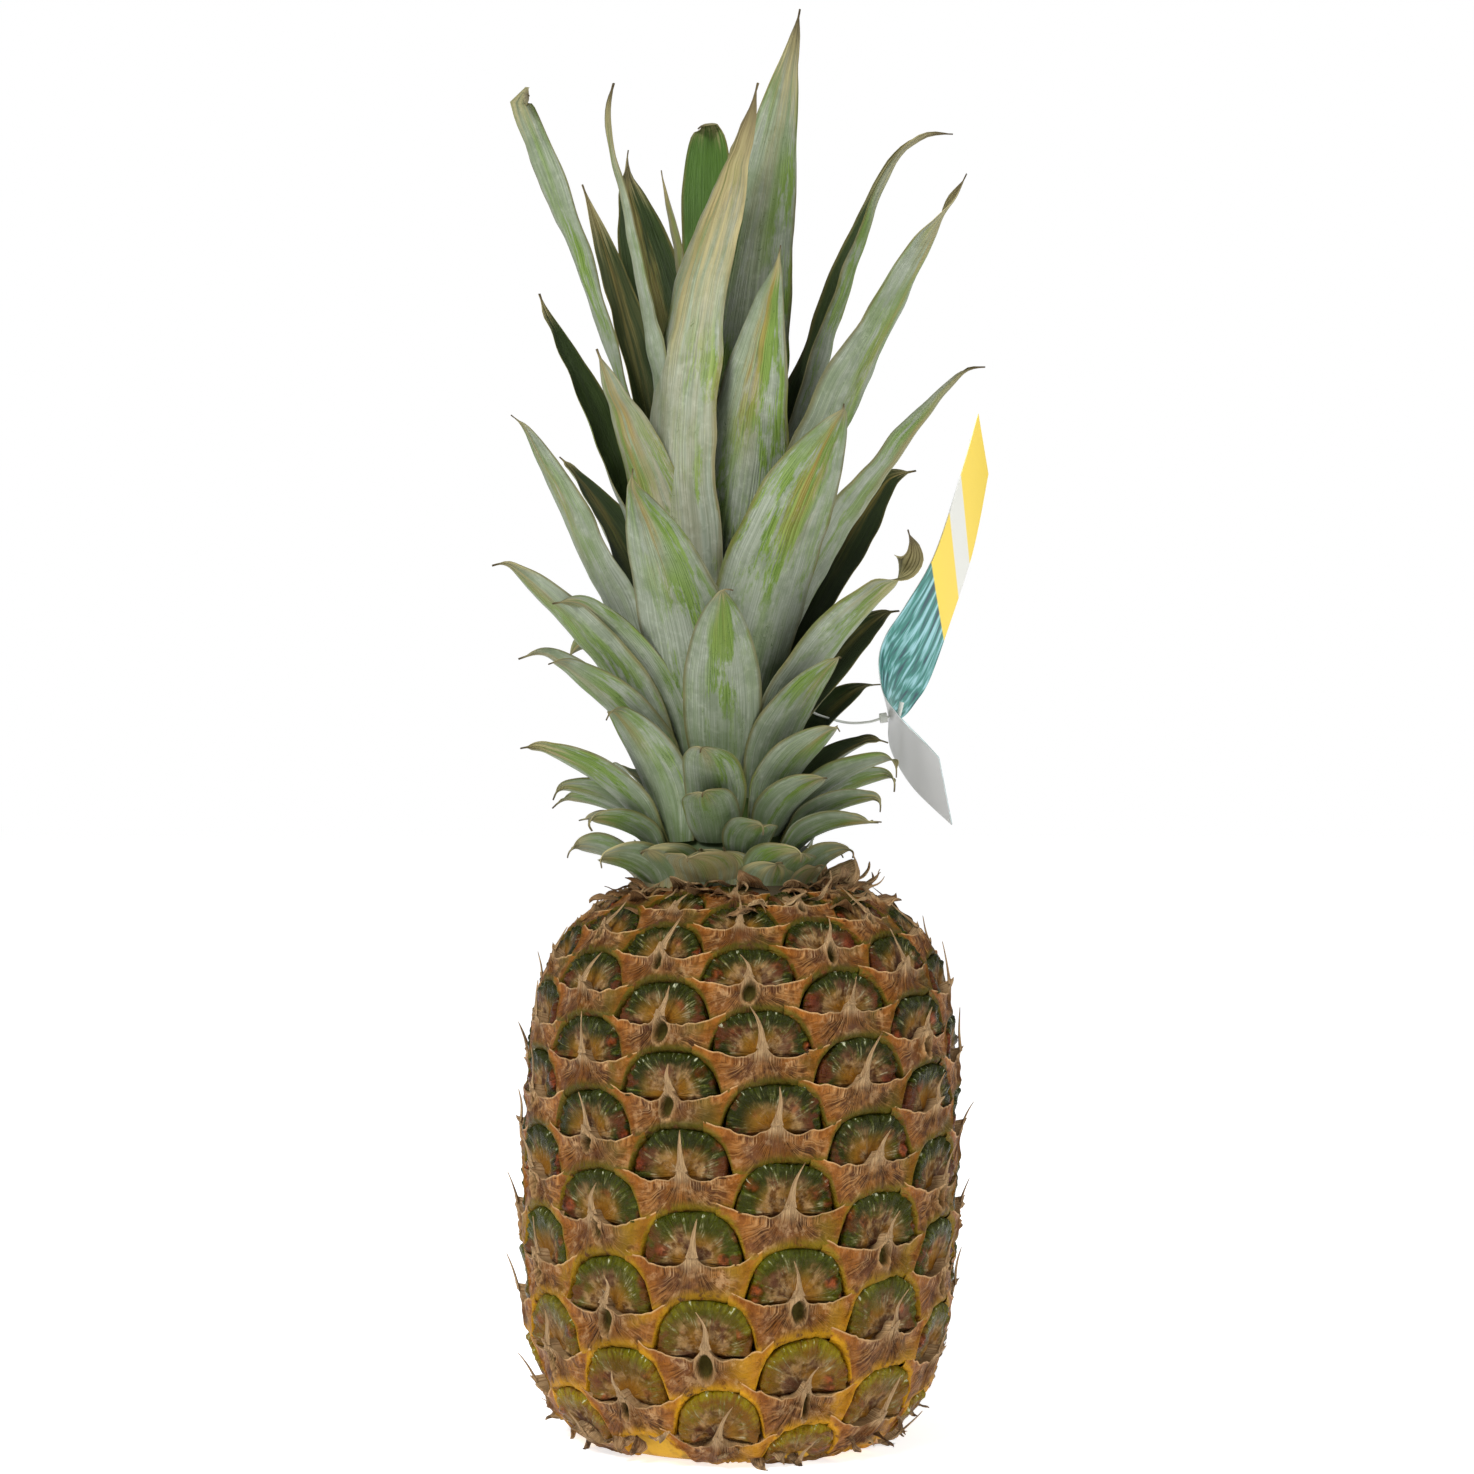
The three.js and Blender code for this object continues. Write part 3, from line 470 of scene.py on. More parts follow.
def build_domes(name, eye, material):
    """The green upper half of each eye. A polar grid of a squarish half ellipse that is 13 mm tall
    above the bract line, with most of its spokes in the upper half. Its height dips at the centre,
    swells at the rim with radial ribs, and falls steeply into the groove and under the bract."""
    upper, under = 66, 14
    rho = np.array([0.02, 0.15, 0.3, 0.44, 0.56, 0.67, 0.76, 0.83, 0.885, 0.925, 0.955, 0.98, 1.0])
    rho = rho[None, :, None]
    low = -0.2
    angle = np.concatenate([
        np.linspace(low, np.pi - low, upper, endpoint=False),
        np.linspace(np.pi - low, 2 * np.pi + low, under, endpoint=False),
    ])[None, None, :]
    index = eye["index"].reshape(-1, 1, 1)
    seed = chance(index + 11)
    power = mix(2.2, 2.8, chance(index + 13))
    corner = (np.abs(np.cos(angle)) ** power + np.abs(np.sin(angle)) ** power) ** (-1 / power)
    wobble = 1 + 0.025 * np.sin(2 * angle + 9 * seed) + 0.02 * np.sin(5 * angle + 30 * seed)
    wobble = wobble + 0.012 * np.sin(11 * angle + 70 * seed)
    u = EYE_HALF_WIDTH * rho * corner * wobble * np.cos(angle)
    rise = np.sin(angle)
    v = -np.where(rise > 0, EYE_HEIGHT, 3.2) * rho * corner * wobble * rise - 0.2
    ribs = np.sin(angle * 34 + 3 * np.sin(3 * angle + 20 * seed) + 12 * seed)
    folds = np.sin(angle * 9 + 4 * np.sin(2 * angle + 31 * seed) + 40 * seed)
    height = -1.2 + 1.9 * smooth(rho, 0.15, 0.8) + 0.34 * ribs * bump(rho, 0.9, 0.1)
    height = height + 0.3 * folds * bump(rho, 0.5, 0.25)
    height = height + 0.5 * folds * bump(rho, 0.84, 0.08)
    height = height - GROOVE_DEPTH * smooth(rho, 0.89, 1.0) ** 1.5 - 2.6 * smooth(v, 0.0, 1.6)
    surface = eye_surface(eye, u, v, height)
    rough = 0.6 * noise(surface, 4.5) + 0.35 * noise(surface + 50, 2.1)
    height = height + rough * (1 - smooth(rho, 0.8, 1)) * smooth(rho, 0, 0.2)
    surface = eye_surface(eye, u, v, height)
    ones = np.ones(surface.shape[:3])
    values = dict(
        rho=rho * ones, across=u / EYE_HALF_WIDTH * ones, drop=v * ones, ripe=ripeness(surface)
    )
    uv = np.stack([angle / (2 * np.pi) * ones + seed, rho * ones], -1)
    return add_mesh(name, surface, many_grids(surface, closed=True), values, material, "rind", uv)


def paper_values(shape, **given):
    """The attributes that the bract paper reads, 0 where none is given."""
    return {name: given.get(name, 0) * np.ones(shape) for name in PAPER_VALUES}


def lower_edge(u):
    """How far below its centre a cell ends: the nearest of the tops of the three eyes below and
    the lips of their bracts."""
    def dome_top(centre_u, centre_v):
        across = np.clip(np.abs((u - centre_u) / EYE_HALF_WIDTH), 0, 1)
        top = centre_v - EYE_HEIGHT * (1 - across**2.3) ** (1 / 2.3)
        return np.where(across < 1, top, 99)

    below = dome_top(COLUMN_TWIST, ROW_PITCH)
    left_row, right_row = ROW_PITCH * (1 - ROW_SHIFT), ROW_PITCH * ROW_SHIFT
    left_u = -EYE_WIDTH + COLUMN_TWIST * (1 - ROW_SHIFT)
    right_u = EYE_WIDTH + COLUMN_TWIST * ROW_SHIFT
    lips = np.where(u < 0, left_row, right_row) - 0.5
    return np.minimum.reduce([below, dome_top(left_u, left_row), dome_top(right_u, right_row), lips])


def build_bracts(name, eye, material):
    """The dry papery lower half of each eye. Across, u runs over +-18 mm and is densest in the
    middle. Down, each grid runs from behind the raised lip to the groove above the next eyes. The
    lip rises into a narrow peak that carries the spike, a ridge of fibres gathers below it, and
    some ridges are split by a slit with a rolled rim."""
    columns, rows = 48, 18
    s = np.linspace(-1, 1, columns + 1)[None, None, :]
    u = WING_REACH * (0.42 * s + 0.58 * s**3)
    index = eye["index"].reshape(-1, 1, 1)
    seed = chance(index + 51)
    lean = mix(-0.3, 1.2, chance(index + 61))
    peak = np.exp(-np.maximum(np.abs(u - lean) - 0.35, 0) / mix(1.2, 1.9, chance(index + 66)))
    top = 1.0 - 2.9 * (np.abs(u) / 16) ** 2.4 - 4.2 * peak
    bottom = lower_edge(u) + TUCK + 0.5
    t = (np.linspace(0, 1, rows + 1) ** 1.15)[None, :, None]
    place = np.stack([u + 60 * index, 0 * u + 13.7 * index, 0 * (u + index)], -1)
    ragged = 0.5 * noise(place, 2.6) + 0.35 * noise(place + 31, 1.1)
    top = top + ragged * smooth(np.abs(u - lean), 1.0, 4)
    bottom = np.maximum(bottom, top + 0.4)
    v = mix(top, bottom, t)
    inside = bottom - v
    base = mix(-GROOVE_DEPTH, 0.5, 1 - np.exp(-inside / 0.75)) + 0.5 * bump(inside, 2.4, 1.6)
    depth = v - top
    lip = 0.9 * np.exp(-depth / 1.3) * (1 - (np.abs(u) / WING_REACH) ** 4)
    spread = 1.3 + 0.36 * np.maximum(depth - 3, 0)
    ridge = 1.5 * bump(u, lean * (1 - t), spread) * (1 - 0.8 * t) + 0.5 * peak * np.exp(-depth / 2.5)
    fan = np.arctan2(u - lean, np.maximum(depth - 2.5, 0) + 3.0)
    pleats = np.sin(fan * 19 + 5 * np.sin(fan * 3 + 20 * seed) + 60 * seed)
    pleats = 0.24 * pleats * smooth(depth, 0.5, 3) * mix(0.4, 1.3, chance(index + 68))
    has_slit = (chance(index + 71) < 0.56) * 1.0
    slit_half = mix(1.0, 2.3, chance(index + 81))
    slit_tall = mix(2.2, 3.5, chance(index + 96))
    slit_u = lean * 0.5 + mix(-0.6, 1.0, chance(index + 91)) + 0.25 * np.sin(depth * 0.6 + 30 * seed)
    from_slit = np.hypot((u - slit_u) / slit_half, (v + 0.6 - slit_tall) / slit_tall)
    slit = has_slit * (1 - smooth(from_slit, 0.72, 1.0))
    rim = has_slit * bump(from_slit, 1.12, 0.15)
    height = base + lip + ridge + pleats * (1 - slit) + 0.8 * rim
    height = mix(height, np.minimum(height, -0.9), slit)

    def carried(value, behind=(0, 0)):
        """A value of the visible rows, with its first row repeated behind the lip and changed
        there by the amounts behind."""
        value = value * np.ones((len(index), rows + 1, columns + 1))
        return np.concatenate([value[:, :1] + change for change in behind] + [value], 1)

    v = carried(v, BEHIND_LIP_V)
    height = carried(height, BEHIND_LIP_HEIGHT)
    ones = np.ones(v.shape)
    surface = eye_surface(eye, u * ones, v, height)
    height = height + 0.5 * noise(surface, 4.5) + 0.35 * noise(surface + 70, 1.9)
    surface = eye_surface(eye, u * ones, v, height)
    values = paper_values(
        v.shape, groove=carried(np.exp(-inside / 1.9)), lip=carried(np.exp(-depth / 0.6)),
        slit=carried(slit), rim=carried(rim), depth=carried(depth), wing=u / WING_REACH,
        ripe=ripeness(surface), pale=carried(peak * np.exp(-np.maximum(depth - 1, 0) / 2.5)),
    )
    uv = np.stack([carried(fan), carried(depth) * 0.1], -1)
    faces = many_grids(surface)[:, ::-1]
    return add_mesh(name, surface, faces, values, material, "rind", uv)


def build_thorns(material):
    """The dry spike of each eye: a strip that starts inside the peak of the bract's lip, narrows
    from 3.4 mm to a point, stands off the eye and leans to one side. Its section is a flat lens."""
    eye = eyes
    steps, around = 12, 6
    q = np.linspace(0, 1, steps)[None, :, None]
    turn = (np.arange(around) * 2 * np.pi / around)[None, None, :]
    index = eye["index"].reshape(-1, 1, 1)
    small = 1 / np.maximum(eye["tall"].reshape(-1, 1, 1), 0.8)
    length = 9.0 * mix(0.6, 1.3, chance(index)) * small
    lean = mix(-0.25, 0.5, chance(index + 200))
    bend = mix(-1.6, 1.6, chance(index + 210))
    stand = mix(0.8, 4.5, chance(index + 220) ** 2.2)
    start = mix(-0.3, 1.2, chance(index + 61))
    middle = start + length * lean * q**1.2 + bend * np.sin(np.pi * q * 1.3) * q
    down = -1.6 - length * q
    lift = 2.0 + stand * q**0.9 - 0.4 * np.sin(np.pi * q)
    half = 0.5 * (1.6 * np.exp(-q * 6) + 1.7 * (1 - q) ** 0.8 + 0.1)
    twist = mix(-1.1, 1.1, chance(index + 230)) * q
    flat = half * np.cos(turn)
    thick = 0.3 * half * np.sin(turn) + 0.1 * np.sin(turn)
    u = middle + flat * np.cos(twist) - thick * np.sin(twist)
    height = lift + flat * np.sin(twist) + thick * np.cos(twist)
    ones = np.ones((len(index), steps, around))
    surface = eye_surface(eye, u, down * ones, height)
    values = paper_values(ones.shape, depth=down, pale=mix(1.0, 0.8, q))
    uv = np.stack([flat * 0.3 * ones, down * 0.1 * ones], -1)
    faces = many_grids(surface, closed=True)
    return add_mesh("eye_thorns", surface, faces, values, material, "rind", uv)


# Blades


def stem_radius(z):
    """The stem's radius at height z, in straight lines between its outline's corners."""
    corners = np.array(STEM_OUTLINE)
    return float(np.interp(z, corners[:, 1], corners[:, 0]))


def crown_point(azimuth, radius, z):
    """A point at that azimuth and radius from the crown's leaning axis."""
    point = outward(float(azimuth)) * radius
    return point + np.array([CROWN_X + CROWN_LEAN * (z - CROWN_Z), 0, z])


def turned(vectors, axis, angle):
    """The vectors turned about one axis, each by its own angle in radians."""
    angle = np.asarray(angle)[:, None]
    kept = axis * (vectors @ axis)[:, None]
    return kept + (vectors - kept) * np.cos(angle) + np.cross(axis, vectors) * np.sin(angle)


def bent_end(s, points, along, normal, end):
    """A middle line whose last part is bent: its steps turn outward by bend and to the side by
    sway, and its face rolls about it, all growing smoothly from start to near the tip, or to the
    share that a fifth value gives, which makes a fold."""
    start, bend, sway, roll, *stop = end
    bend, sway, roll = np.radians([bend, sway, roll])
    k = int(start * BLADE_STEPS)
    bend_axis, sway_axis = np.cross(along[k], normal[k]), normal[k]
    share = smooth(s, start, *(stop or [mix(start, 1, 0.85)]))
    half = (share[1:] + share[:-1]) / 2
    steps = turned(turned(np.diff(points, axis=0), bend_axis, bend * half), sway_axis, sway * half)
    points = np.concatenate([points[:1], points[0] + np.cumsum(steps, 0)])
    normal = turned(turned(normal, bend_axis, bend * share), sway_axis, sway * share)
    along = unit(np.gradient(points, axis=0))
    side = np.cross(along, normal)
    normal = normal * np.cos(roll * share)[:, None] + side * np.sin(roll * share)[:, None]
    normal = unit(normal - along * np.sum(normal * along, 1, keepdims=True))
    return points, along, normal


def blade_rib(leaf, seed):
    """The middle line of a blade with its tangents and outward normals. Its lean grows evenly
    along it, plus a hook over the last fifth; the curve is then turned and scaled to run from the
    foot on the stem to the tip. A belly moves its middle out by a half sine."""
    foot_azimuth = leaf.get("foot", leaf["az"])
    tip = leaf["tip"]
    bow = math.radians(max(LEAST_BOW, MOST_BOW - BOW_LOSS * (tip - LOWEST_TIP)))
    hook = math.radians(leaf.get("hook", 0))
    share = min(max((tip - LOWEST_TIP) / (HIGHEST_TIP - LOWEST_TIP), 0), 1)
    foot_z = leaf.get("level", LOWEST_FOOT + FOOT_SPAN * share**FOOT_POWER)
    foot_radius = stem_radius(foot_z) + GAP + FOOT_THICKNESS / 2 - leaf.get("sink", 0)
    start = crown_point(foot_azimuth, foot_radius, foot_z)
    end = crown_point(leaf["az"], leaf["reach"], tip)
    level = (end - start) * np.array([1, 1, 0])
    s = np.linspace(0, 1, BLADE_STEPS + 1)
    middle = (s[1:] + s[:-1]) / 2

    def lean_at(x):
        return bow * (x - 0.5) + hook * np.clip((x - 0.8) / 0.2, 0, 1) ** 2

    lean = lean_at(middle)
    plain = np.concatenate([[[0, 0]], np.cumsum(np.stack([np.sin(lean), np.cos(lean)], 1), 0)])
    chord = plain[-1]
    reach = np.linalg.norm(level)
    turn = math.atan2(reach, end[2] - start[2]) - math.atan2(chord[0], chord[1])
    scale = np.linalg.norm(end - start) / np.linalg.norm(chord)
    heading = level / max(reach, 1e-6)
    across = np.cross([0, 0, 1], heading)
    x, y = plain.T * scale
    points = start + np.outer(x * math.cos(turn) + y * math.sin(turn), heading)
    points[:, 2] += y * math.cos(turn) - x * math.sin(turn)
    belly = outward(float(foot_azimuth)) * leaf.get("belly", 0)
    points = points + np.outer(np.sin(np.pi * s), belly)
    length = np.linalg.norm(end - start)
    sway = np.sin(s * 5 + seed * 40) * s * min(length, 160) * 0.008
    points = points + np.outer(sway, across)
    along = unit(np.gradient(points, axis=0))
    lean = lean_at(s) + turn
    heading_azimuth = math.degrees(math.atan2(heading[0], -heading[1]))
    open_front = -36 * math.sin(math.radians(leaf["az"])) * (tip < 235) + 24 * (seed - 0.5)
    face = np.radians(foot_azimuth - heading_azimuth + leaf.get("twist", open_front) * s)
    normal = np.outer(np.cos(lean), heading)
    normal[:, 2] = -np.sin(lean)
    normal = normal * np.cos(face)[:, None] + np.outer(np.sin(face), across)
    normal = unit(normal - along * np.sum(normal * along, 1, keepdims=True))
    short = length < 70
    least, most = ([-10, -40, -70], [100, 40, 70]) if short else ([-20, -25, -60], [35, 25, 60])
    own = mix(np.array(least), np.array(most), chance(seed * 99 + np.arange(3)))
    chosen = leaf.get("end", (0.8 if short else 0.92, *own))
    return s, *bent_end(s, points, along, normal, chosen), length


def blade_shell(leaf, seed):
    """Outer and inner grids of a blade. Its section is an arc that wraps the stem at the foot and
    opens above it, folded along the middle into a keel, with margins that wave. Its width swells,
    tapers and ends in a dry spine. The dry end curls in from both margins and crumples."""
    s, centre, along, normal, length = blade_rib(leaf, seed)
    widest = min(BLADE_MAX_WIDTH, BLADE_BASE_WIDTH + BLADE_WIDTH_RATE * length) * leaf.get("wide", 1)
    foot_radius = stem_radius(centre[0][2]) + GAP + FOOT_THICKNESS
    side = np.cross(along, normal)
    rise = mix(FOOT_WIDTH, 1, np.sin(np.pi / 2 * np.clip(s / 0.3, 0, 1)))
    spine_start = 1 - SPINE_LENGTH / length
    full = leaf.get("full", mix(2.3, TAPER_POWER, min(length / 120, 1)))
    taper = 1 - np.clip((s - 0.3) / (spine_start - 0.3), 0, 1) ** full
    width = mix(mix(SPINE_WIDTH * 2, 0.4, s), widest * rise, taper)
    dry = max(leaf.get("dry", 0.06), 6 / length)
    curl = smooth(s, 1 - dry, 1)
    ragged = noise(np.outer(s * length, [1, 0, 0]) + 90 * seed, 7)
    width = width * (1 + (0.03 + 0.14 * curl) * ragged * smooth(s, 0.2, 0.5))
    foot_arc = min(WIDEST_FOOT_ARC, FOOT_WIDTH * widest / foot_radius)
    open_arc = mix(1.1, 0.7, s) * leaf.get("cup", 1)
    arc = mix(foot_arc, open_arc, smooth(s, 0, 0.35)) * (1 + 1.2 * curl)
    radius = (width / arc)[:, None]
    thickness = mix(FOOT_THICKNESS, mix(BLADE_THICKNESS, TIP_THICKNESS, s), smooth(s, 0, 0.3))
    share = np.linspace(-0.5, 0.5, BLADE_COLUMNS + 1)[None, :]
    angle = share * arc[:, None]
    reach = s[:, None] * length
    long = min(length / 110, 1) ** 1.5
    wave = np.sin(reach / 4.6 + seed * 50) * np.sin(reach / 17 + seed * 20) * np.sign(share)
    wave = wave + 0.8 * np.sin(reach / 6.3 + seed * 90) * np.sin(reach / 23 + 3)
    wave = 0.75 * long * wave * (2 * share) ** 2
    wave = wave * (width / widest * smooth(s, 0.15, 0.4))[:, None]
    keel = KEEL * (np.sqrt((2 * share) ** 2 + 0.02) - 0.14) * (width * smooth(s, 0.08, 0.3))[:, None]
    sideways = (radius * np.sin(angle))[..., None]
    inward = (-radius * (1 - np.cos(angle)) + wave - keel)[..., None]
    middle = centre[:, None] + side[:, None] * sideways + normal[:, None] * inward
    facing = normal[:, None] * np.cos(angle)[..., None] + side[:, None] * np.sin(angle)[..., None]
    shrivel = (curl * np.minimum(width / 6, 1.6))[:, None]
    crumple = 0.5 * (noise(middle, 6.0) * long + noise(middle, 3.0) * shrivel)
    middle = middle + facing * (crumple * smooth(s, 0.1, 0.4)[:, None])[..., None]
    margin = 1 - 0.72 * np.abs(2 * share) ** 3
    half = (thickness[:, None] * margin / 2)[..., None]
    return s, middle + facing * half, middle - facing * half, length


def blade_values(leaf, seed, s, length):
    """The attributes of both faces of a blade."""
    ones = np.ones((2, len(s), BLADE_COLUMNS + 1))
    share = np.linspace(-1, 1, BLADE_COLUMNS + 1)
    inner = np.array([0, 1]).reshape(2, 1, 1)
    dry = max(leaf.get("dry", 0.06), 6 / length)
    streak = leaf.get("streak", 0.3 + 0.6 * float(chance(seed * 77)))
    along = s[None, :, None]
    values = dict(
        along=along, side=share, inner=inner, seed=seed, dry=(along - (1 - dry)) / dry,
        brown=leaf.get("brown", 0), streak=streak, reach=along * length, fresh=leaf.get("fresh", 0),
    )
    uv = np.stack([share * ones * 0.5, along * ones * length / 60], -1)
    return {name: value * ones for name, value in values.items()}, uv


def build_leaf(name, leaf, seed, material):
    """One separate leaf as a closed shell, which stands for its CAD node."""
    s, outer, inner, length = blade_shell(leaf, seed)
    values, uv = blade_values(leaf, seed, s, length)
    faces = shell_faces(len(s), BLADE_COLUMNS + 1)
    piece = add_mesh(name + "_blade", np.stack([outer, inner]), faces, values, material, "leaf", uv)
    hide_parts(name)
    return piece


def build_stem(material):
    """The stem and the blades that are one with it, joined in one mesh."""
    grown = [dict(leaf, **COLLAR) for leaf in COLLAR_LEAVES]
    for n in range(SCALE_COUNT):
        far, high, brown = (float(chance(n + shift)) for shift in (0, 5, 9))
        grown.append(dict(SCALE, az=n * 97, reach=27 + 6 * far, tip=155 + 7 * high, brown=0.9 * brown))
    grown += [dict(leaf, sink=HEART_SINK) for leaf in HEART_LEAVES]
    parts, all_uv, all_values = [], [], []
    for k, leaf in enumerate(grown):
        seed = float(chance(k + 700))
        s, outer, inner, length = blade_shell(leaf, seed)
        values, uv = blade_values(leaf, seed, s, length)
        parts.append((np.stack([outer, inner]).reshape(-1, 3), shell_faces(len(s), BLADE_COLUMNS + 1)))
        all_uv.append(uv.reshape(-1, 2))
        all_values.append({key: value.ravel() for key, value in values.items()})
    corners = np.array(STEM_OUTLINE)
    low, high = corners[0, 1], corners[-1, 1]
    z = np.concatenate([[low, low], np.linspace(low, high, STEM_ROWS), [high]])
    radius = np.interp(z, corners[:, 1], corners[:, 0])
    radius[0], radius[-1] = 0.05, 0.05
    azimuth = np.arange(STEM_COLUMNS) * 360 / STEM_COLUMNS
    stem = outward(azimuth)[None] * radius[:, None, None]
    stem[..., 0] += (CROWN_X + CROWN_LEAN * (z - CROWN_Z))[:, None]
    stem[..., 2] = z[:, None]
    parts.append((stem.reshape(-1, 3), grid_faces(len(z), STEM_COLUMNS, closed=True)))
    size = len(z) * STEM_COLUMNS
    all_uv.append(np.zeros((size, 2)))
    # The stem takes the leaves' dark inner-face green all over. This serves as painted shade between
    # the leaf feet.
    plain = dict(along=0, side=0, inner=1, seed=0.5, dry=-5, brown=0, streak=0, reach=0, fresh=0)
    all_values.append({key: np.full(size, value, float) for key, value in plain.items()})
    values = {key: np.concatenate([v[key] for v in all_values]) for key in plain}
    piece = add_mesh("crown_heart", *joined(parts), values, material, "leaf", np.concatenate(all_uv))
    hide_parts("crown_stem")
    return piece


# Dry scraps


def strips(starts, ups, sides, length, width, curl, twist, seed):
    """Thin dry scraps, one grid each around a flat lens section. A scrap leaves its start along
    ups and bends towards its normal by the curl angle and turns about itself by the twist angle,
    both in radians, as it narrows to a ragged point. It is cupped, and crumpled by noise."""
    steps, around = 16, 12
    q = np.linspace(0, 1, steps)[None, :, None]
    per = [value[:, None, None] for value in (length, width, curl, twist, seed)]
    length, width, curl, twist, seed = per
    out = unit(np.cross(sides, ups))[:, None]
    bend = curl * q**1.4 + 0.5 * np.sin(q * 7 + seed * 50) * q
    direction = ups[:, None] * np.cos(bend) + out * np.sin(bend)
    direction = direction + sides[:, None] * np.sin(q * 4 + seed * 30) * 0.4
    line = starts[:, None] + np.cumsum(direction, 1) * (length / steps)
    normal = unit(out * np.cos(bend) - ups[:, None] * np.sin(bend))
    face = twist * q
    flat_way = sides[:, None] * np.cos(face) + normal * np.sin(face)
    normal = normal * np.cos(face) - sides[:, None] * np.sin(face)
    turn = (np.arange(around) * 2 * np.pi / around)[None, None, :]
    ragged = 1 + 0.18 * np.sin(q * 17 + seed * 60 + np.sign(np.cos(turn)) * 2) * q
    half = (width / 2) * (1 - q) ** mix(0.4, 0.9, seed) * np.minimum(1, 0.7 + 2 * q) * ragged + 0.06
    flat = half * np.cos(turn)
    cup = 0.4 * half * np.cos(turn) ** 2 + 0.13 * np.sin(turn)
    surface = line[:, :, None] + flat_way[:, :, None] * flat[..., None]
    surface = surface + normal[:, :, None] * cup[..., None]
    crumple = noise(surface, 4.5) * 1.2 + noise(surface + 40, 2.2) * 0.4
    surface = surface + normal[:, :, None] * (crumple * np.minimum(1, 0.3 + 2 * q))[..., None]
    ones = np.ones(surface.shape[:3])
    tan = chance(seed * 31 + 5)
    values = paper_values(
        ones.shape, groove=0.12 * (1 - q) ** 2, lip=0.6 * np.abs(np.cos(turn)) ** 6, depth=9,
        pale=0.24 + 0.4 * tan + 0.4 * smooth(q, 0.2, 1.2) * (tan > 0.4),
        dark=0.7 * smooth(surface[..., 2], 13, 5),
    )
    uv = np.stack([(np.cos(turn) * 0.4 + seed) * ones, q * ones], -1)
    return surface, values, uv


def scraps(name, first, azimuth, radius, z, ranges, material, slope=0, short=1):
    """One mesh of scraps round the fruit, at the azimuths in degrees. ranges holds the lowest and
    highest lift, which is a scrap's rise from level in radians, length, width, curl and twist.
    first sets the run of chances that pick from them, slope is added to the lifts, and a short
    above 1 makes most of the lengths short."""
    n = np.arange(len(azimuth)) + first

    def picked(key, shift, power=1):
        return mix(*ranges[key], chance(n + shift) ** power)

    lift = slope + picked("lift", 20)
    out = outward(azimuth)
    starts = out * radius[:, None]
    starts[:, 0] += FRUIT_LEAN * (z - FRUIT_LEAN_PIVOT)
    starts[:, 2] = z
    ups = unit(out * np.cos(lift)[:, None] + np.array([0, 0, 1]) * np.sin(lift)[:, None])
    askew = mix(-0.5, 0.5, chance(n + 25))[:, None]
    round_way = np.cross(np.array([0, 0, 1.0]), out)
    ups = unit(ups + askew * round_way)
    sides = unit(round_way - ups * np.sum(round_way * ups, 1, keepdims=True))
    shape = picked("length", 30, short), picked("width", 40), picked("curl", 50), picked("twist", 55)
    surface, values, uv = strips(starts, ups, sides, *shape, chance(n + 60))
    surface[..., 2] = np.maximum(surface[..., 2], 0.05)
    return add_mesh(name, surface, many_grids(surface, closed=True), values, material, "rind", uv)


def build_collar(material):
    """Dry scraps on top of the fruit. Flat ones lie on its shoulder and point outward, upright
    ones hug the foot of the crown, and thin curled fibres stand out between them."""
    n = np.arange(FLAT_SCRAPS)
    ring = chance(n + 905)
    scraps(
        "collar_flat", 900, n * GOLDEN_ANGLE, mix(23, 34, ring), mix(150.2, 146.6, ring),
        dict(lift=(-0.05, 0.2), length=(7, 13), width=(8, 16), curl=(-0.6, 0.4), twist=(-0.6, 0.6)),
        material, slope=mix(0.1, -0.4, ring),
    )
    n = np.arange(UPRIGHT_SCRAPS)
    scraps(
        "collar_upright", 300, n * 360 / UPRIGHT_SCRAPS + 12 * chance(n + 307),
        mix(19.5, 25, chance(n + 310)), mix(147.6, 149.6, chance(n + 315)),
        dict(lift=(0.5, 1.35), length=(6, 16), width=(9, 16), curl=(-0.3, 1.0), twist=(-0.4, 0.4)),
        material, short=2,
    )
    n = np.arange(FIBRE_SCRAPS)
    ring = chance(n + 510)
    scraps(
        "collar_fibres", 500, n * GOLDEN_ANGLE + 40, mix(22, 36, ring), mix(150, 146.5, ring),
        dict(lift=(-0.2, 0.9), length=(7, 15), width=(0.9, 2.6), curl=(-2.2, 2.2), twist=(-3, 3)),
        material,
    )


def build_skirt(material):
    """Ragged brown scraps round the lowest edge of the fruit, hanging down and outward."""
    n = np.arange(SKIRT_SCRAPS)
    z = mix(3.0, 12.0, chance(n + 610))
    scraps(
        "base_skirt", 600, n * GOLDEN_ANGLE, np.interp(z, outline[:, 1], outline[:, 0]) - 1.5, z,
        dict(lift=(-1.5, -0.7), length=(3, 8), width=(3, 8), curl=(-0.8, 0.5), twist=(-1.5, 1.5)),
        material,
    )


# Tag


def build_tag(material):
    """A thin card between two Catmull-Rom edges, as a closed shell of even thickness."""
    steps, columns = 90, 9
    near = spline([pair[0] for pair in TAG_EDGES], steps + 1)
    far = spline([pair[1] for pair in TAG_EDGES], steps + 1)
    w = np.linspace(0, 1, columns)[None, :, None]
    middle = mix(near[:, None], far[:, None], w)
    along = unit(np.gradient(middle, axis=0))
    width = unit(far - near)[:, None]
    normal = unit(np.cross(width, along))
    outer, inner = middle + normal * TAG_THICKNESS / 2, middle - normal * TAG_THICKNESS / 2
    t = np.linspace(0, 1, steps + 1)
    ones = np.ones((2, steps + 1, columns))
    values = dict(
        along=t[None, :, None] * ones, side=w[..., 0] * ones,
        back=np.array([1, 0]).reshape(2, 1, 1) * ones,
    )
    uv = np.stack([w[..., 0] * ones, t[None, :, None] * ones], -1)
    points, faces = np.stack([outer, inner]), shell_faces(steps + 1, columns)
    piece = add_mesh("tag_card", points, faces, values, material, "card", uv)
    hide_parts("tag")
    return piece


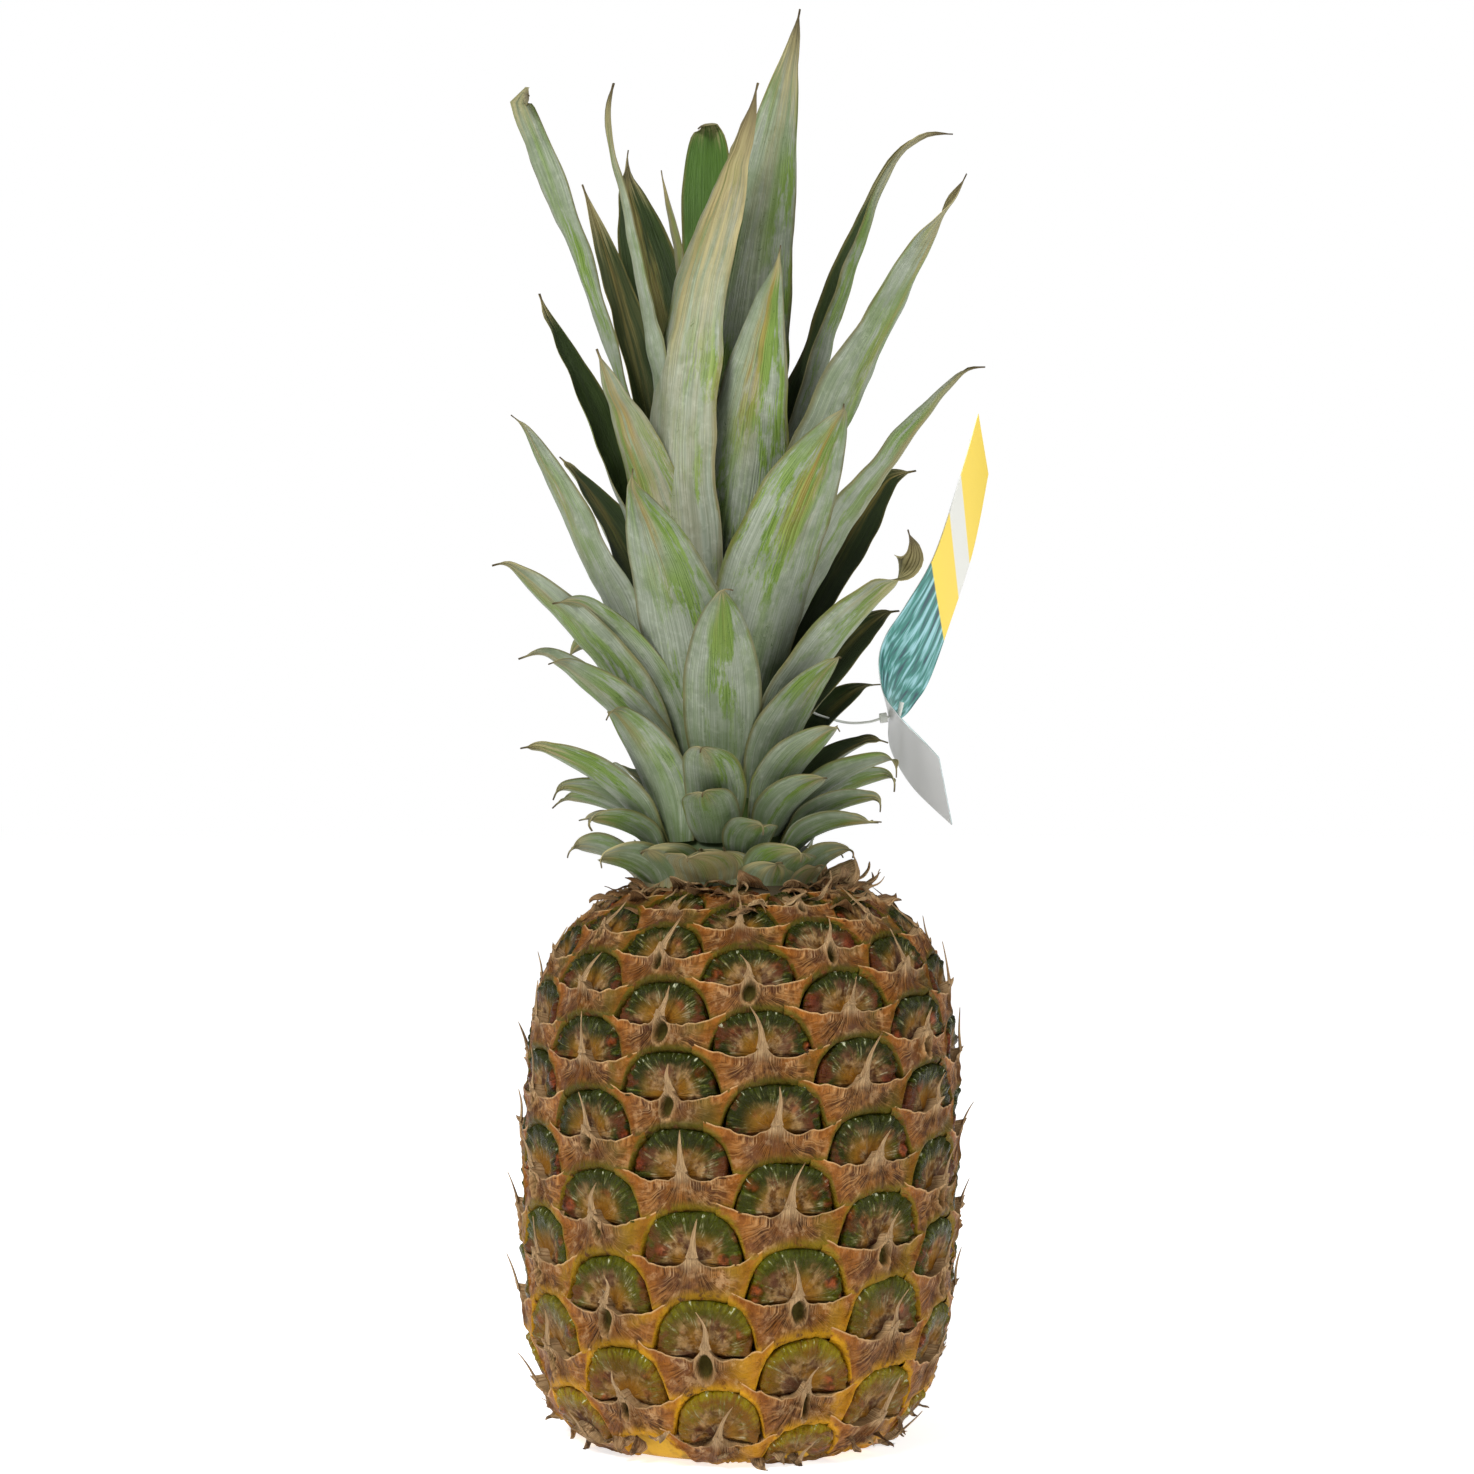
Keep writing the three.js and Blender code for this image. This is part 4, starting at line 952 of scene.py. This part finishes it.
def tube(route, radius, around=10):
    """A round tube along a smooth curve through the route, closed at both ends. Its frame turns
    with the curve by projecting one fixed direction."""
    line = spline(route, 8 * len(route))
    along = unit(np.gradient(line, axis=0))
    fixed = np.array([0.3, 0.2, 0.93])
    first = unit(np.cross(along, fixed))
    second = np.cross(along, first)
    turn = np.arange(around) * 2 * np.pi / around
    r = np.full(len(line), radius)
    r = np.concatenate([[0.01], r, [0.01]])
    line = np.concatenate([line[:1], line, line[-1:]])
    first = np.concatenate([first[:1], first, first[-1:]])
    second = np.concatenate([second[:1], second, second[-1:]])
    ring = first[:, None] * np.cos(turn)[None, :, None] + second[:, None] * np.sin(turn)[None, :, None]
    return line[:, None] + ring * r[:, None, None]


def build_pin(material):
    """A thin thread with a bar at each end and a knob beside the card, in one mesh."""
    route = np.array(PIN_ROUTE, float)
    head, knob, foot = route[0], route[1], route[-1]

    def bar(centre, direction, length):
        reach = unit(np.array(direction, float)) * length / 2
        return np.stack([centre - reach, centre, centre + reach])

    tubes = [
        tube(route, PIN_RADIUS),
        tube(bar(foot, (0.2, 1, -0.1), PIN_BAR_LENGTH), PIN_BAR_RADIUS),
        tube(bar(head, (0.25, 0, 1), PIN_BAR_LENGTH), PIN_BAR_RADIUS),
        tube(bar(knob, knob - head, PIN_KNOB_LENGTH), PIN_KNOB_RADIUS),
    ]
    parts = [(one.reshape(-1, 3), grid_faces(*one.shape[:2], closed=True)[:, ::-1]) for one in tubes]
    piece = add_mesh("tag_thread", *joined(parts), {}, material, "thread")
    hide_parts("tag_pin")
    return piece


# Materials


def give(node, values):
    """Each value on the node's input of that name or place: sockets are linked, the rest is set."""
    for key, value in values.items():
        if isinstance(value, bpy.types.NodeSocket):
            node.id_data.links.new(value, node.inputs[key])
        else:
            node.inputs[key].default_value = value


def put(tree, kind, values=None, **settings):
    """A node with its inputs and its settings."""
    node = tree.nodes.new(kind)
    for key, value in settings.items():
        setattr(node, key, value)
    give(node, values or {})
    return node


def home(*values):
    """The tree that the first socket among the values belongs to."""
    return next(value.id_data for value in values if isinstance(value, bpy.types.NodeSocket))


def read(tree, *names):
    """The values of the attributes."""
    return [put(tree, "ShaderNodeAttribute", attribute_name=name).outputs["Fac"] for name in names]


def surface_uv(tree):
    """The piece's own texture coordinates."""
    return put(tree, "ShaderNodeUVMap").outputs[0]


def calc(operation, a, b=0.0):
    """One arithmetic step."""
    return put(home(a, b), "ShaderNodeMath", {0: a, 1: b}, operation=operation).outputs[0]


def times(*masks):
    """The product of several masks and numbers."""
    product = masks[0]
    for mask in masks[1:]:
        product = calc("MULTIPLY", product, mask)
    return product


def total(*values):
    """The sum of several values."""
    result = values[0]
    for value in values[1:]:
        result = calc("ADD", result, value)
    return result


def swing(value, size):
    """How far the value is from a half, times the size."""
    return times(calc("SUBTRACT", value, 0.5), size)


def spread(value, start, end):
    """0 before start and 1 after end, smooth in between."""
    values = {0: value, 1: start, 2: end, 3: 0.0, 4: 1.0}
    node = put(home(value), "ShaderNodeMapRange", values, interpolation_type="SMOOTHSTEP")
    return node.outputs[0]


def rgb(red, green, blue):
    """A colour from the three display values from 0 to 255, as linear light."""
    def linear(x):
        x = x / 255
        return x / 12.92 if x <= 0.04045 else ((x + 0.055) / 1.055) ** 2.4

    return (linear(red), linear(green), linear(blue), 1.0)


def tint(share, a, b):
    """Colour a mixed with colour b by the share."""
    values = {0: share, 6: a, 7: b}
    node = put(home(share), "ShaderNodeMix", values, data_type="RGBA", clamp_factor=True)
    return node.outputs[2]


def over(colour, new, *masks):
    """The colour, painted over with the new one where the product of the masks is high."""
    return tint(times(*masks), colour, new)


def ramp(value, *stops):
    """A colour that runs through the stops, each a place and three display values."""
    node = put(home(value), "ShaderNodeValToRGB", {0: value})
    band = node.color_ramp
    while len(band.elements) < len(stops):
        band.elements.new(0.5)
    for element, (place, *colour) in zip(band.elements, stops):
        element.position = place
        element.color = rgb(*colour)
    return node.outputs[0]


def speckle(vector, scale, detail=3.0, rough=0.5, distortion=0.0):
    """Noise from 0 to 1."""
    values = {"Vector": vector, "Scale": scale, "Detail": detail, "Roughness": rough}
    values["Distortion"] = distortion
    return put(home(vector), "ShaderNodeTexNoise", values).outputs[0]


def stretched(vector, scale, location=(0, 0, 0), turn=0):
    """The coordinates times a scale for each axis, turned in their plane by an angle in radians."""
    values = {"Vector": vector, "Scale": scale, "Location": location, "Rotation": (0, 0, turn)}
    return put(home(vector), "ShaderNodeMapping", values).outputs[0]


def new_material(name):
    """A material with its tree, its surface shader and its place coordinates."""
    material = bpy.data.materials.new(name)
    material.use_nodes = True
    tree = material.node_tree
    place = put(tree, "ShaderNodeTexCoord").outputs["Object"]
    return material, tree, tree.nodes["Principled BSDF"], place


def shared(name, inputs, output, fill):
    """A node group that several materials use, made the first time it is asked for. Its inputs
    are named with their kinds, and its outputs are of one kind. fill adds the nodes inside it and
    gives its outputs by name."""
    group = bpy.data.node_groups.get(name)
    if group is None:
        group = bpy.data.node_groups.new(name, "ShaderNodeTree")
        for label, kind in inputs.items():
            group.interface.new_socket(label, in_out="INPUT", socket_type="NodeSocket" + kind)
        made = fill(group, group.nodes.new("NodeGroupInput").outputs)
        for label in made:
            group.interface.new_socket(label, in_out="OUTPUT", socket_type="NodeSocket" + output)
        give(group.nodes.new("NodeGroupOutput"), made)
    return group


def placed(group, **values):
    """The outputs of a group that is placed in a material with its own values."""
    return put(home(*values.values()), "ShaderNodeGroup", values, node_tree=group).outputs


def mottle(vector, scale):
    """Fine and broad blotches from 0 to 1, from the group that all the natural surfaces share."""
    def fill(group, given):
        broad_scale = times(given["Scale"], 0.3)
        return {
            "Fine": speckle(given["Vector"], given["Scale"], 5.0, 0.62),
            "Broad": speckle(given["Vector"], broad_scale, 3.0, 0.55),
        }

    group = shared("plant_mottle", {"Vector": "Vector", "Scale": "Float"}, "Float", fill)
    blotches = placed(group, Vector=vector, Scale=scale)
    return blotches["Fine"], blotches["Broad"]


def fibres(vector, across, along, bend=0.2):
    """Lines along the second texture direction, as values from 0 to 1. across and along are their
    counts per unit."""
    def fill(group, given):
        counts = put(group, "ShaderNodeCombineXYZ", {0: given["Across"], 1: given["Along"], 2: 1.0})
        values = {0: given["Vector"], 1: counts.outputs[0]}
        scaled = put(group, "ShaderNodeVectorMath", values, operation="MULTIPLY").outputs[0]
        return {"Lines": speckle(scaled, 1.0, 4.0, 0.6, given["Bend"])}

    inputs = {"Vector": "Vector", "Across": "Float", "Along": "Float", "Bend": "Float"}
    group = shared("plant_fibres", inputs, "Float", fill)
    return placed(group, Vector=vector, Across=across, Along=along, Bend=bend)["Lines"]


def relief(height, depth):
    """The normal of fine bumps of the given depth, in metres."""
    def fill(group, given):
        values = {"Height": given["Height"], "Distance": given["Depth"], "Strength": 0.9}
        return {"Normal": put(group, "ShaderNodeBump", values).outputs[0]}

    group = shared("fine_relief", {"Height": "Float", "Depth": "Float"}, "Vector", fill)
    return placed(group, Height=height, Depth=depth)["Normal"]


def dome_material():
    """Green skin of an eye: dark and glossy with radial ribs at the rim, powdery grey and tan in
    the middle, an orange glow low down, dark red warts, and more yellow where the fruit is ripe.
    A brighter green band on the rim ridge is its own green with painted highlight, and pale
    dashes on the rim ribs are painted glints."""
    material, tree, shader, place = new_material("dome_skin")
    rho, ripe, drop, across = read(tree, "rho", "ripe", "drop", "across")
    across = calc("ABSOLUTE", across)
    fine, broad = mottle(place, 480.0)
    rays = fibres(surface_uv(tree), 64.0, 2.4, 0.3)
    rim = ramp(ripe, (0, 34, 36, 2), (0.5, 54, 56, 3), (0.8, 76, 70, 3), (1, 124, 98, 2))
    rim = over(rim, rgb(100, 54, 16), spread(ripe, 0.6, 1.0), spread(broad, 0.44, 0.56), 0.7)
    rim = over(rim, rgb(86, 94, 8), spread(rays, 0.5, 0.68), 0.55)
    middle = tint(spread(fine, 0.36, 0.62), rgb(82, 52, 20), rgb(160, 128, 84))
    middle = over(middle, rgb(84, 80, 26), spread(broad, 0.46, 0.62), 0.8)
    middle = over(middle, rgb(84, 50, 34), spread(broad, 0.46, 0.36), 0.75)
    shifted = total(rho, swing(rays, 0.5), swing(broad, 0.7))
    colour = tint(spread(shifted, 0.4, 0.74), middle, rim)
    powder = times(spread(rays, 0.54, 0.68), spread(rho, 0.95, 0.5), spread(fine, 0.4, 0.6))
    colour = over(colour, rgb(178, 166, 134), powder, 0.75)
    glow = times(spread(drop, -8.0, -2.0), spread(across, 0.7, 0.1), spread(broad, 0.4, 0.6))
    colour = over(colour, rgb(164, 104, 20), glow, 0.75)
    # Partly painted highlight: a brighter green band on the rim ridge, the eye's own green lightened
    # where the raised ridge would catch the light.
    ring = times(spread(rho, 0.72, 0.84), spread(rho, 0.95, 0.9), spread(drop, -3.0, -7.0))
    fresh = ramp(ripe, (0, 46, 54, 10), (0.45, 76, 82, 12), (1, 146, 132, 10))
    colour = over(colour, fresh, ring, spread(rays, 0.35, 0.6), 0.5)
    low = calc("MAXIMUM", spread(drop, -9.0, -4.0), spread(across, 0.6, 0.85))
    cells = put(tree, "ShaderNodeTexVoronoi", {"Vector": place, "Scale": 210.0}).outputs
    chosen = put(tree, "ShaderNodeSeparateColor", {0: cells["Color"]}).outputs[0]
    wart = times(spread(cells["Distance"], 0.55, 0.2), spread(chosen, 0.52, 0.56))
    wart = times(wart, spread(rho, 0.35, 0.55), spread(rho, 0.98, 0.9), low)
    red = tint(spread(fine, 0.36, 0.62), rgb(74, 24, 12), rgb(158, 72, 36))
    colour = over(colour, red, wart, 0.7)
    flush = times(low, spread(broad, 0.54, 0.44), spread(rho, 0.5, 0.75))
    colour = over(colour, rgb(96, 40, 22), flush, 0.6)
    # Painted highlight: pale dashes on the upper rim ribs stand in for the lamp's glints.
    painted_glint = times(spread(rays, 0.57, 0.63), spread(rho, 0.76, 0.84), spread(rho, 0.94, 0.9))
    painted_glint = times(painted_glint, spread(drop, -4.0, -9.0), spread(fine, 0.5, 0.56))
    colour = over(colour, rgb(206, 208, 176), painted_glint, 0.75)
    colour = over(colour, rgb(20, 18, 2), spread(rho, 0.93, 0.99))
    rough = put(tree, "ShaderNodeMapRange", {0: shifted, 1: 0.4, 2: 0.8, 3: 0.65, 4: 0.2}).outputs[0]
    give(shader, {
        "Base Color": colour, "Roughness": rough, "Specular IOR Level": 0.12,
        "Normal": relief(total(fine, times(rays, 0.8), times(wart, 1.2)), 0.0018),
    })
    return material


def bract_material():
    """Dry paper: tan and orange-brown, mottled with mauve and dark brown, a pale lip, an olive or
    yellow fleshy rim and a dark groove below, olive inside a slit and green-yellow at a wing."""
    material, tree, shader, place = new_material("bract_paper")
    groove, lip, slit, rim, wing, ripe, pale, dark, depth = read(tree, *PAPER_VALUES)
    fibre = fibres(surface_uv(tree), 30.0, 1.2, 0.15)
    fine, broad = mottle(place, 420.0)
    speck, patch = mottle(stretched(place, (1.0, 1.0, 1.0), (0.3, 0.1, 0.7)), 260.0)
    colour = tint(spread(fine, 0.34, 0.64), rgb(78, 42, 16), rgb(158, 106, 54))
    colour = over(colour, rgb(190, 146, 92), spread(fibre, 0.5, 0.64), 0.5)
    colour = over(colour, rgb(62, 32, 10), spread(fibre, 0.46, 0.36), 0.5)
    colour = over(colour, rgb(134, 76, 12), spread(broad, 0.48, 0.6), 0.6)
    mauve = times(spread(patch, 0.4, 0.64), spread(speck, 0.36, 0.6))
    colour = over(colour, rgb(104, 66, 44), mauve, 0.7)
    powder = times(spread(speck, 0.52, 0.62), spread(fine, 0.46, 0.56))
    colour = over(colour, rgb(196, 158, 112), powder, 0.55)
    torn = times(spread(speck, 0.54, 0.4), spread(fibre, 0.54, 0.42))
    colour = over(colour, rgb(54, 30, 10), torn, 0.85)
    green = ramp(ripe, (0, 78, 74, 2), (0.35, 128, 106, 3), (0.7, 160, 118, 1), (1, 206, 148, 0))
    colour = over(colour, green, spread(wing, 0.15, 0.7), spread(patch, 0.42, 0.56), 0.75)
    wings = calc("MAXIMUM", spread(wing, -0.3, -0.75), spread(wing, 0.5, 0.9))
    colour = over(colour, tint(fine, rgb(92, 44, 2), rgb(172, 100, 10)), wings, 0.7)
    colour = over(colour, green, spread(groove, 0.06, 0.3), spread(fine, 0.3, 0.5), 0.85)
    colour = over(colour, rgb(216, 178, 126), spread(lip, 0.35, 0.9), 0.6)
    colour = over(colour, rgb(206, 164, 112), rim, 0.75)
    bone = tint(spread(fibre, 0.35, 0.6), rgb(140, 96, 54), rgb(222, 188, 140))
    colour = over(colour, bone, spread(pale, 0.1, 0.6))
    near = times(spread(depth, 6.0, 0.0), spread(calc("ABSOLUTE", wing), 0.5, 0.1))
    colour = over(colour, rgb(214, 180, 136), near, spread(fibre, 0.54, 0.64), 0.8)
    colour = over(colour, rgb(58, 34, 16), dark, spread(fine, 0.6, 0.4))
    colour = over(colour, tint(fine, rgb(56, 48, 12), rgb(116, 104, 48)), slit)
    deep = tint(spread(ripe, 0.6, 0.98), rgb(30, 24, 4), rgb(110, 80, 4))
    colour = over(colour, deep, spread(groove, 0.6, 0.9))
    give(shader, {
        "Base Color": colour, "Roughness": 0.5, "Specular IOR Level": 0.15,
        "Normal": relief(total(fibre, fine, times(speck, 0.8)), 0.0018),
    })
    return material


def core_material():
    """The floor of the grooves: brown-olive above, yellow where ripe, dry tan on the cut base."""
    material, tree, shader, place = new_material("rind_core")
    ripe, under = read(tree, "ripe", "under")
    fine = mottle(place, 200.0)[0]
    colour = ramp(ripe, (0, 48, 38, 14), (0.6, 78, 58, 10), (1, 196, 150, 14))
    colour = over(colour, rgb(150, 116, 70), under)
    colour = over(colour, rgb(70, 46, 20), spread(fine, 0.5, 0.7), 0.6)
    give(shader, {"Base Color": colour, "Roughness": 0.7, "Normal": relief(fine, 0.0008)})
    return material


def leaf_material():
    """A leaf: its outer face under a pale bloom that is scuffed and rubbed green in places, with
    painted shade as a darker green near its foot, its inner face dark green, both with fine lines
    along it, darker margins, a brown streak down the middle from the tip, and a dry end."""
    material, tree, shader, place = new_material("leaf_blade")
    side, inner, dry, seed, brown = read(tree, "side", "inner", "dry", "seed", "brown")
    along, streak, reach, fresh = read(tree, "along", "streak", "reach", "fresh")
    moved = put(tree, "ShaderNodeCombineXYZ", {0: times(seed, 37.0), 1: times(seed, 91.0)})
    places = {0: surface_uv(tree), 1: moved.outputs[0]}
    own = put(tree, "ShaderNodeVectorMath", places, operation="ADD").outputs[0]
    lines = fibres(own, 80.0, 1.4)
    streaks = fibres(own, 10.0, 1.6, 0.4)
    fine, broad = mottle(place, 420.0)
    patches = speckle(stretched(own, (5.5, 2.8, 1.0)), 1.0, 9.0, 0.72, 0.2)
    marks = speckle(stretched(own, (7.0, 9.0, 1.0), (3.0, 5.0, 0.0)), 1.0, 2.0, 0.5, 1.6)
    edge = calc("ABSOLUTE", side)

    bloom = tint(spread(lines, 0.32, 0.68), rgb(120, 130, 108), rgb(154, 161, 144))
    bloom = over(bloom, rgb(104, 116, 90), spread(broad, 0.54, 0.36), 0.5)
    bloom = over(bloom, rgb(186, 192, 174), spread(fine, 0.5, 0.72), 0.26)
    worn = total(patches, times(spread(along, 0.15, 0.85), 0.1), times(spread(edge, 0.9, 0.1), 0.05))
    worn = total(worn, swing(lines, 0.3))
    green = tint(spread(lines, 0.35, 0.65), rgb(76, 104, 28), rgb(120, 144, 68))
    area = spread(speckle(stretched(own, (1.7, 1.2, 1.0), (7.0, 1.0, 0.0)), 1.0, 1.0), 0.42, 0.6)
    outer = over(bloom, green, spread(worn, 0.55, 0.63), total(0.22, times(area, 0.78)))
    line = spread(calc("ABSOLUTE", calc("SUBTRACT", marks, 0.5)), 0.01, 0.003)
    mark = times(line, spread(patches, 0.5, 0.58), spread(edge, 0.8, 0.5))
    outer = over(outer, rgb(62, 84, 32), mark, 0.7)
    # Painted shade: a darker green over the outer face within 34 mm of the foot, where the leaves
    # overlap.
    outer = over(outer, rgb(80, 106, 40), spread(reach, 34.0, 4.0), spread(streaks, 0.3, 0.6), 0.6)

    dark = tint(streaks, rgb(20, 30, 10), rgb(58, 76, 28))
    dark = over(dark, rgb(84, 104, 54), spread(lines, 0.5, 0.7), 0.3)
    dark = over(dark, tint(lines, rgb(42, 72, 18), rgb(86, 118, 44)), fresh)
    colour = tint(inner, outer, dark)
    margin = times(spread(edge, 0.86, 0.98), spread(streaks, 0.3, 0.5))
    colour = over(colour, tint(broad, rgb(52, 58, 24), rgb(128, 116, 60)), margin, 0.75)

    near = spread(calc("ABSOLUTE", total(side, swing(patches, 1.2))), 0.42, 0.06)
    vein = times(near, spread(along, 0.45, 0.85), streak, spread(streaks, 0.36, 0.56))
    colour = over(colour, tint(spread(lines, 0.4, 0.6), rgb(128, 96, 38), rgb(152, 142, 74)), vein)

    dried = tint(spread(streaks, 0.34, 0.62), rgb(98, 82, 46), rgb(168, 158, 112))
    colour = over(colour, dried, spread(total(dry, swing(streaks, 2.6)), -0.5, 0.8), 0.9)
    colour = over(colour, rgb(62, 44, 24), spread(dry, 0.5, 1.0), 0.8)
    straw = tint(lines, rgb(110, 82, 42), rgb(186, 170, 126))
    colour = over(colour, straw, brown, spread(streaks, 0.3, 0.6))
    give(shader, {
        "Base Color": colour, "Roughness": 0.5, "Specular IOR Level": 0.24,
        "Normal": relief(total(lines, times(fine, 0.5)), 0.0005),
    })
    return material


def card_material():
    """Coated card: yellow above, a pale band, teal with light slanted strokes below, and a pale
    grey back."""
    material, tree, shader, _ = new_material("tag_card")
    along, side, back = read(tree, "along", "side", "back")
    slant = calc("SUBTRACT", along, times(side, 0.01))
    vector = put(tree, "ShaderNodeCombineXYZ", {0: side, 1: along}).outputs[0]
    strokes = speckle(stretched(vector, (14.0, 9.0, 1.0), turn=0.5), 1.0, 2.0, 0.5, 0.3)
    teal = ramp(strokes, (0.34, 18, 62, 74), (0.5, 44, 124, 112), (0.64, 142, 190, 196))
    colour = tint(spread(slant, 0.212, 0.216), rgb(232, 202, 60), teal)
    band = times(spread(slant, 0.105, 0.108), spread(slant, 0.152, 0.149))
    colour = over(colour, rgb(214, 214, 206), band)
    colour = over(colour, rgb(208, 209, 208), back)
    give(shader, {"Base Color": colour, "Roughness": 0.28})
    return material


def plain_material(name, colour, rough):
    """One even colour."""
    material, _, shader, _ = new_material(name)
    give(shader, {"Base Color": colour, "Roughness": rough})
    return material


# Stage


def build_stage():
    """A pale floor, a white surrounding light, a soft light above and to the left of the camera, a
    weaker one at the right, and a level camera."""
    bpy.ops.mesh.primitive_plane_add(size=FLOOR_SIZE, location=(0, 0, 0))
    floor = bpy.context.object
    floor.name = "floor"
    paint = plain_material("floor_paint", (FLOOR_WHITE, FLOOR_WHITE, FLOOR_WHITE, 1), 0.9)
    glow = {"Emission Color": (1, 1, 1, 1), "Emission Strength": FLOOR_GLOW}
    give(paint.node_tree.nodes["Principled BSDF"], glow)
    floor.data.materials.append(paint)
    world = bpy.data.worlds.new("studio")
    bpy.context.scene.world = world
    world.use_nodes = True
    tree = world.node_tree
    seen = put(tree, "ShaderNodeLightPath").outputs["Is Camera Ray"]
    strength = total(AMBIENT, times(seen, 1 - AMBIENT))
    give(tree.nodes["Background"], {0: (1, 1, 1, 1), 1: strength})
    for name, place, size, power in LIGHTS:
        light = bpy.data.lights.new(name, "AREA")
        light.size = size
        light.energy = power
        lamp = bpy.data.objects.new(name, light)
        bpy.context.scene.collection.objects.link(lamp)
        lamp.location = place
        aim = np.array(LIGHT_AIM) - np.array(place)
        yaw = math.atan2(aim[0], -aim[1])
        tilt = math.atan2(-aim[2], math.hypot(aim[0], aim[1]))
        lamp.rotation_euler = (math.pi / 2 - tilt, 0, yaw + math.pi)

    camera = bpy.data.cameras.new("camera")
    camera.sensor_width = CAMERA_SENSOR
    camera.lens = CAMERA_LENS
    eye = bpy.data.objects.new("camera", camera)
    eye.location = (CAMERA_X * MM, -CAMERA_DISTANCE * MM, CAMERA_HEIGHT * MM)
    eye.rotation_euler = (math.pi / 2, 0, 0)
    bpy.context.scene.collection.objects.link(eye)
    bpy.context.scene.camera = eye
    bpy.context.scene.view_settings.view_transform = "Standard"


paper = bract_material()
green = leaf_material()
core = build_core(core_material())
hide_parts("fruit")
skin = dome_material()
half = len(eyes["row"]) // 2
first_eyes = {key: value[:half] for key, value in eyes.items()}
last_eyes = {key: value[half:] for key, value in eyes.items()}
build_domes("domes_a", first_eyes, skin)
build_domes("domes_b", last_eyes, skin)
build_bracts("bracts_a", first_eyes, paper)
build_bracts("bracts_b", last_eyes, paper)
build_thorns(paper)
build_collar(paper)
build_skirt(paper)
build_stem(green)
for number, leaf in enumerate(LEAVES, 1):
    build_leaf(f"leaf_{number:02d}", leaf, float(chance(number + 800)), green)
build_tag(card_material())
build_pin(plain_material("pin_plastic", rgb(214, 216, 208), 0.35))
build_stage()
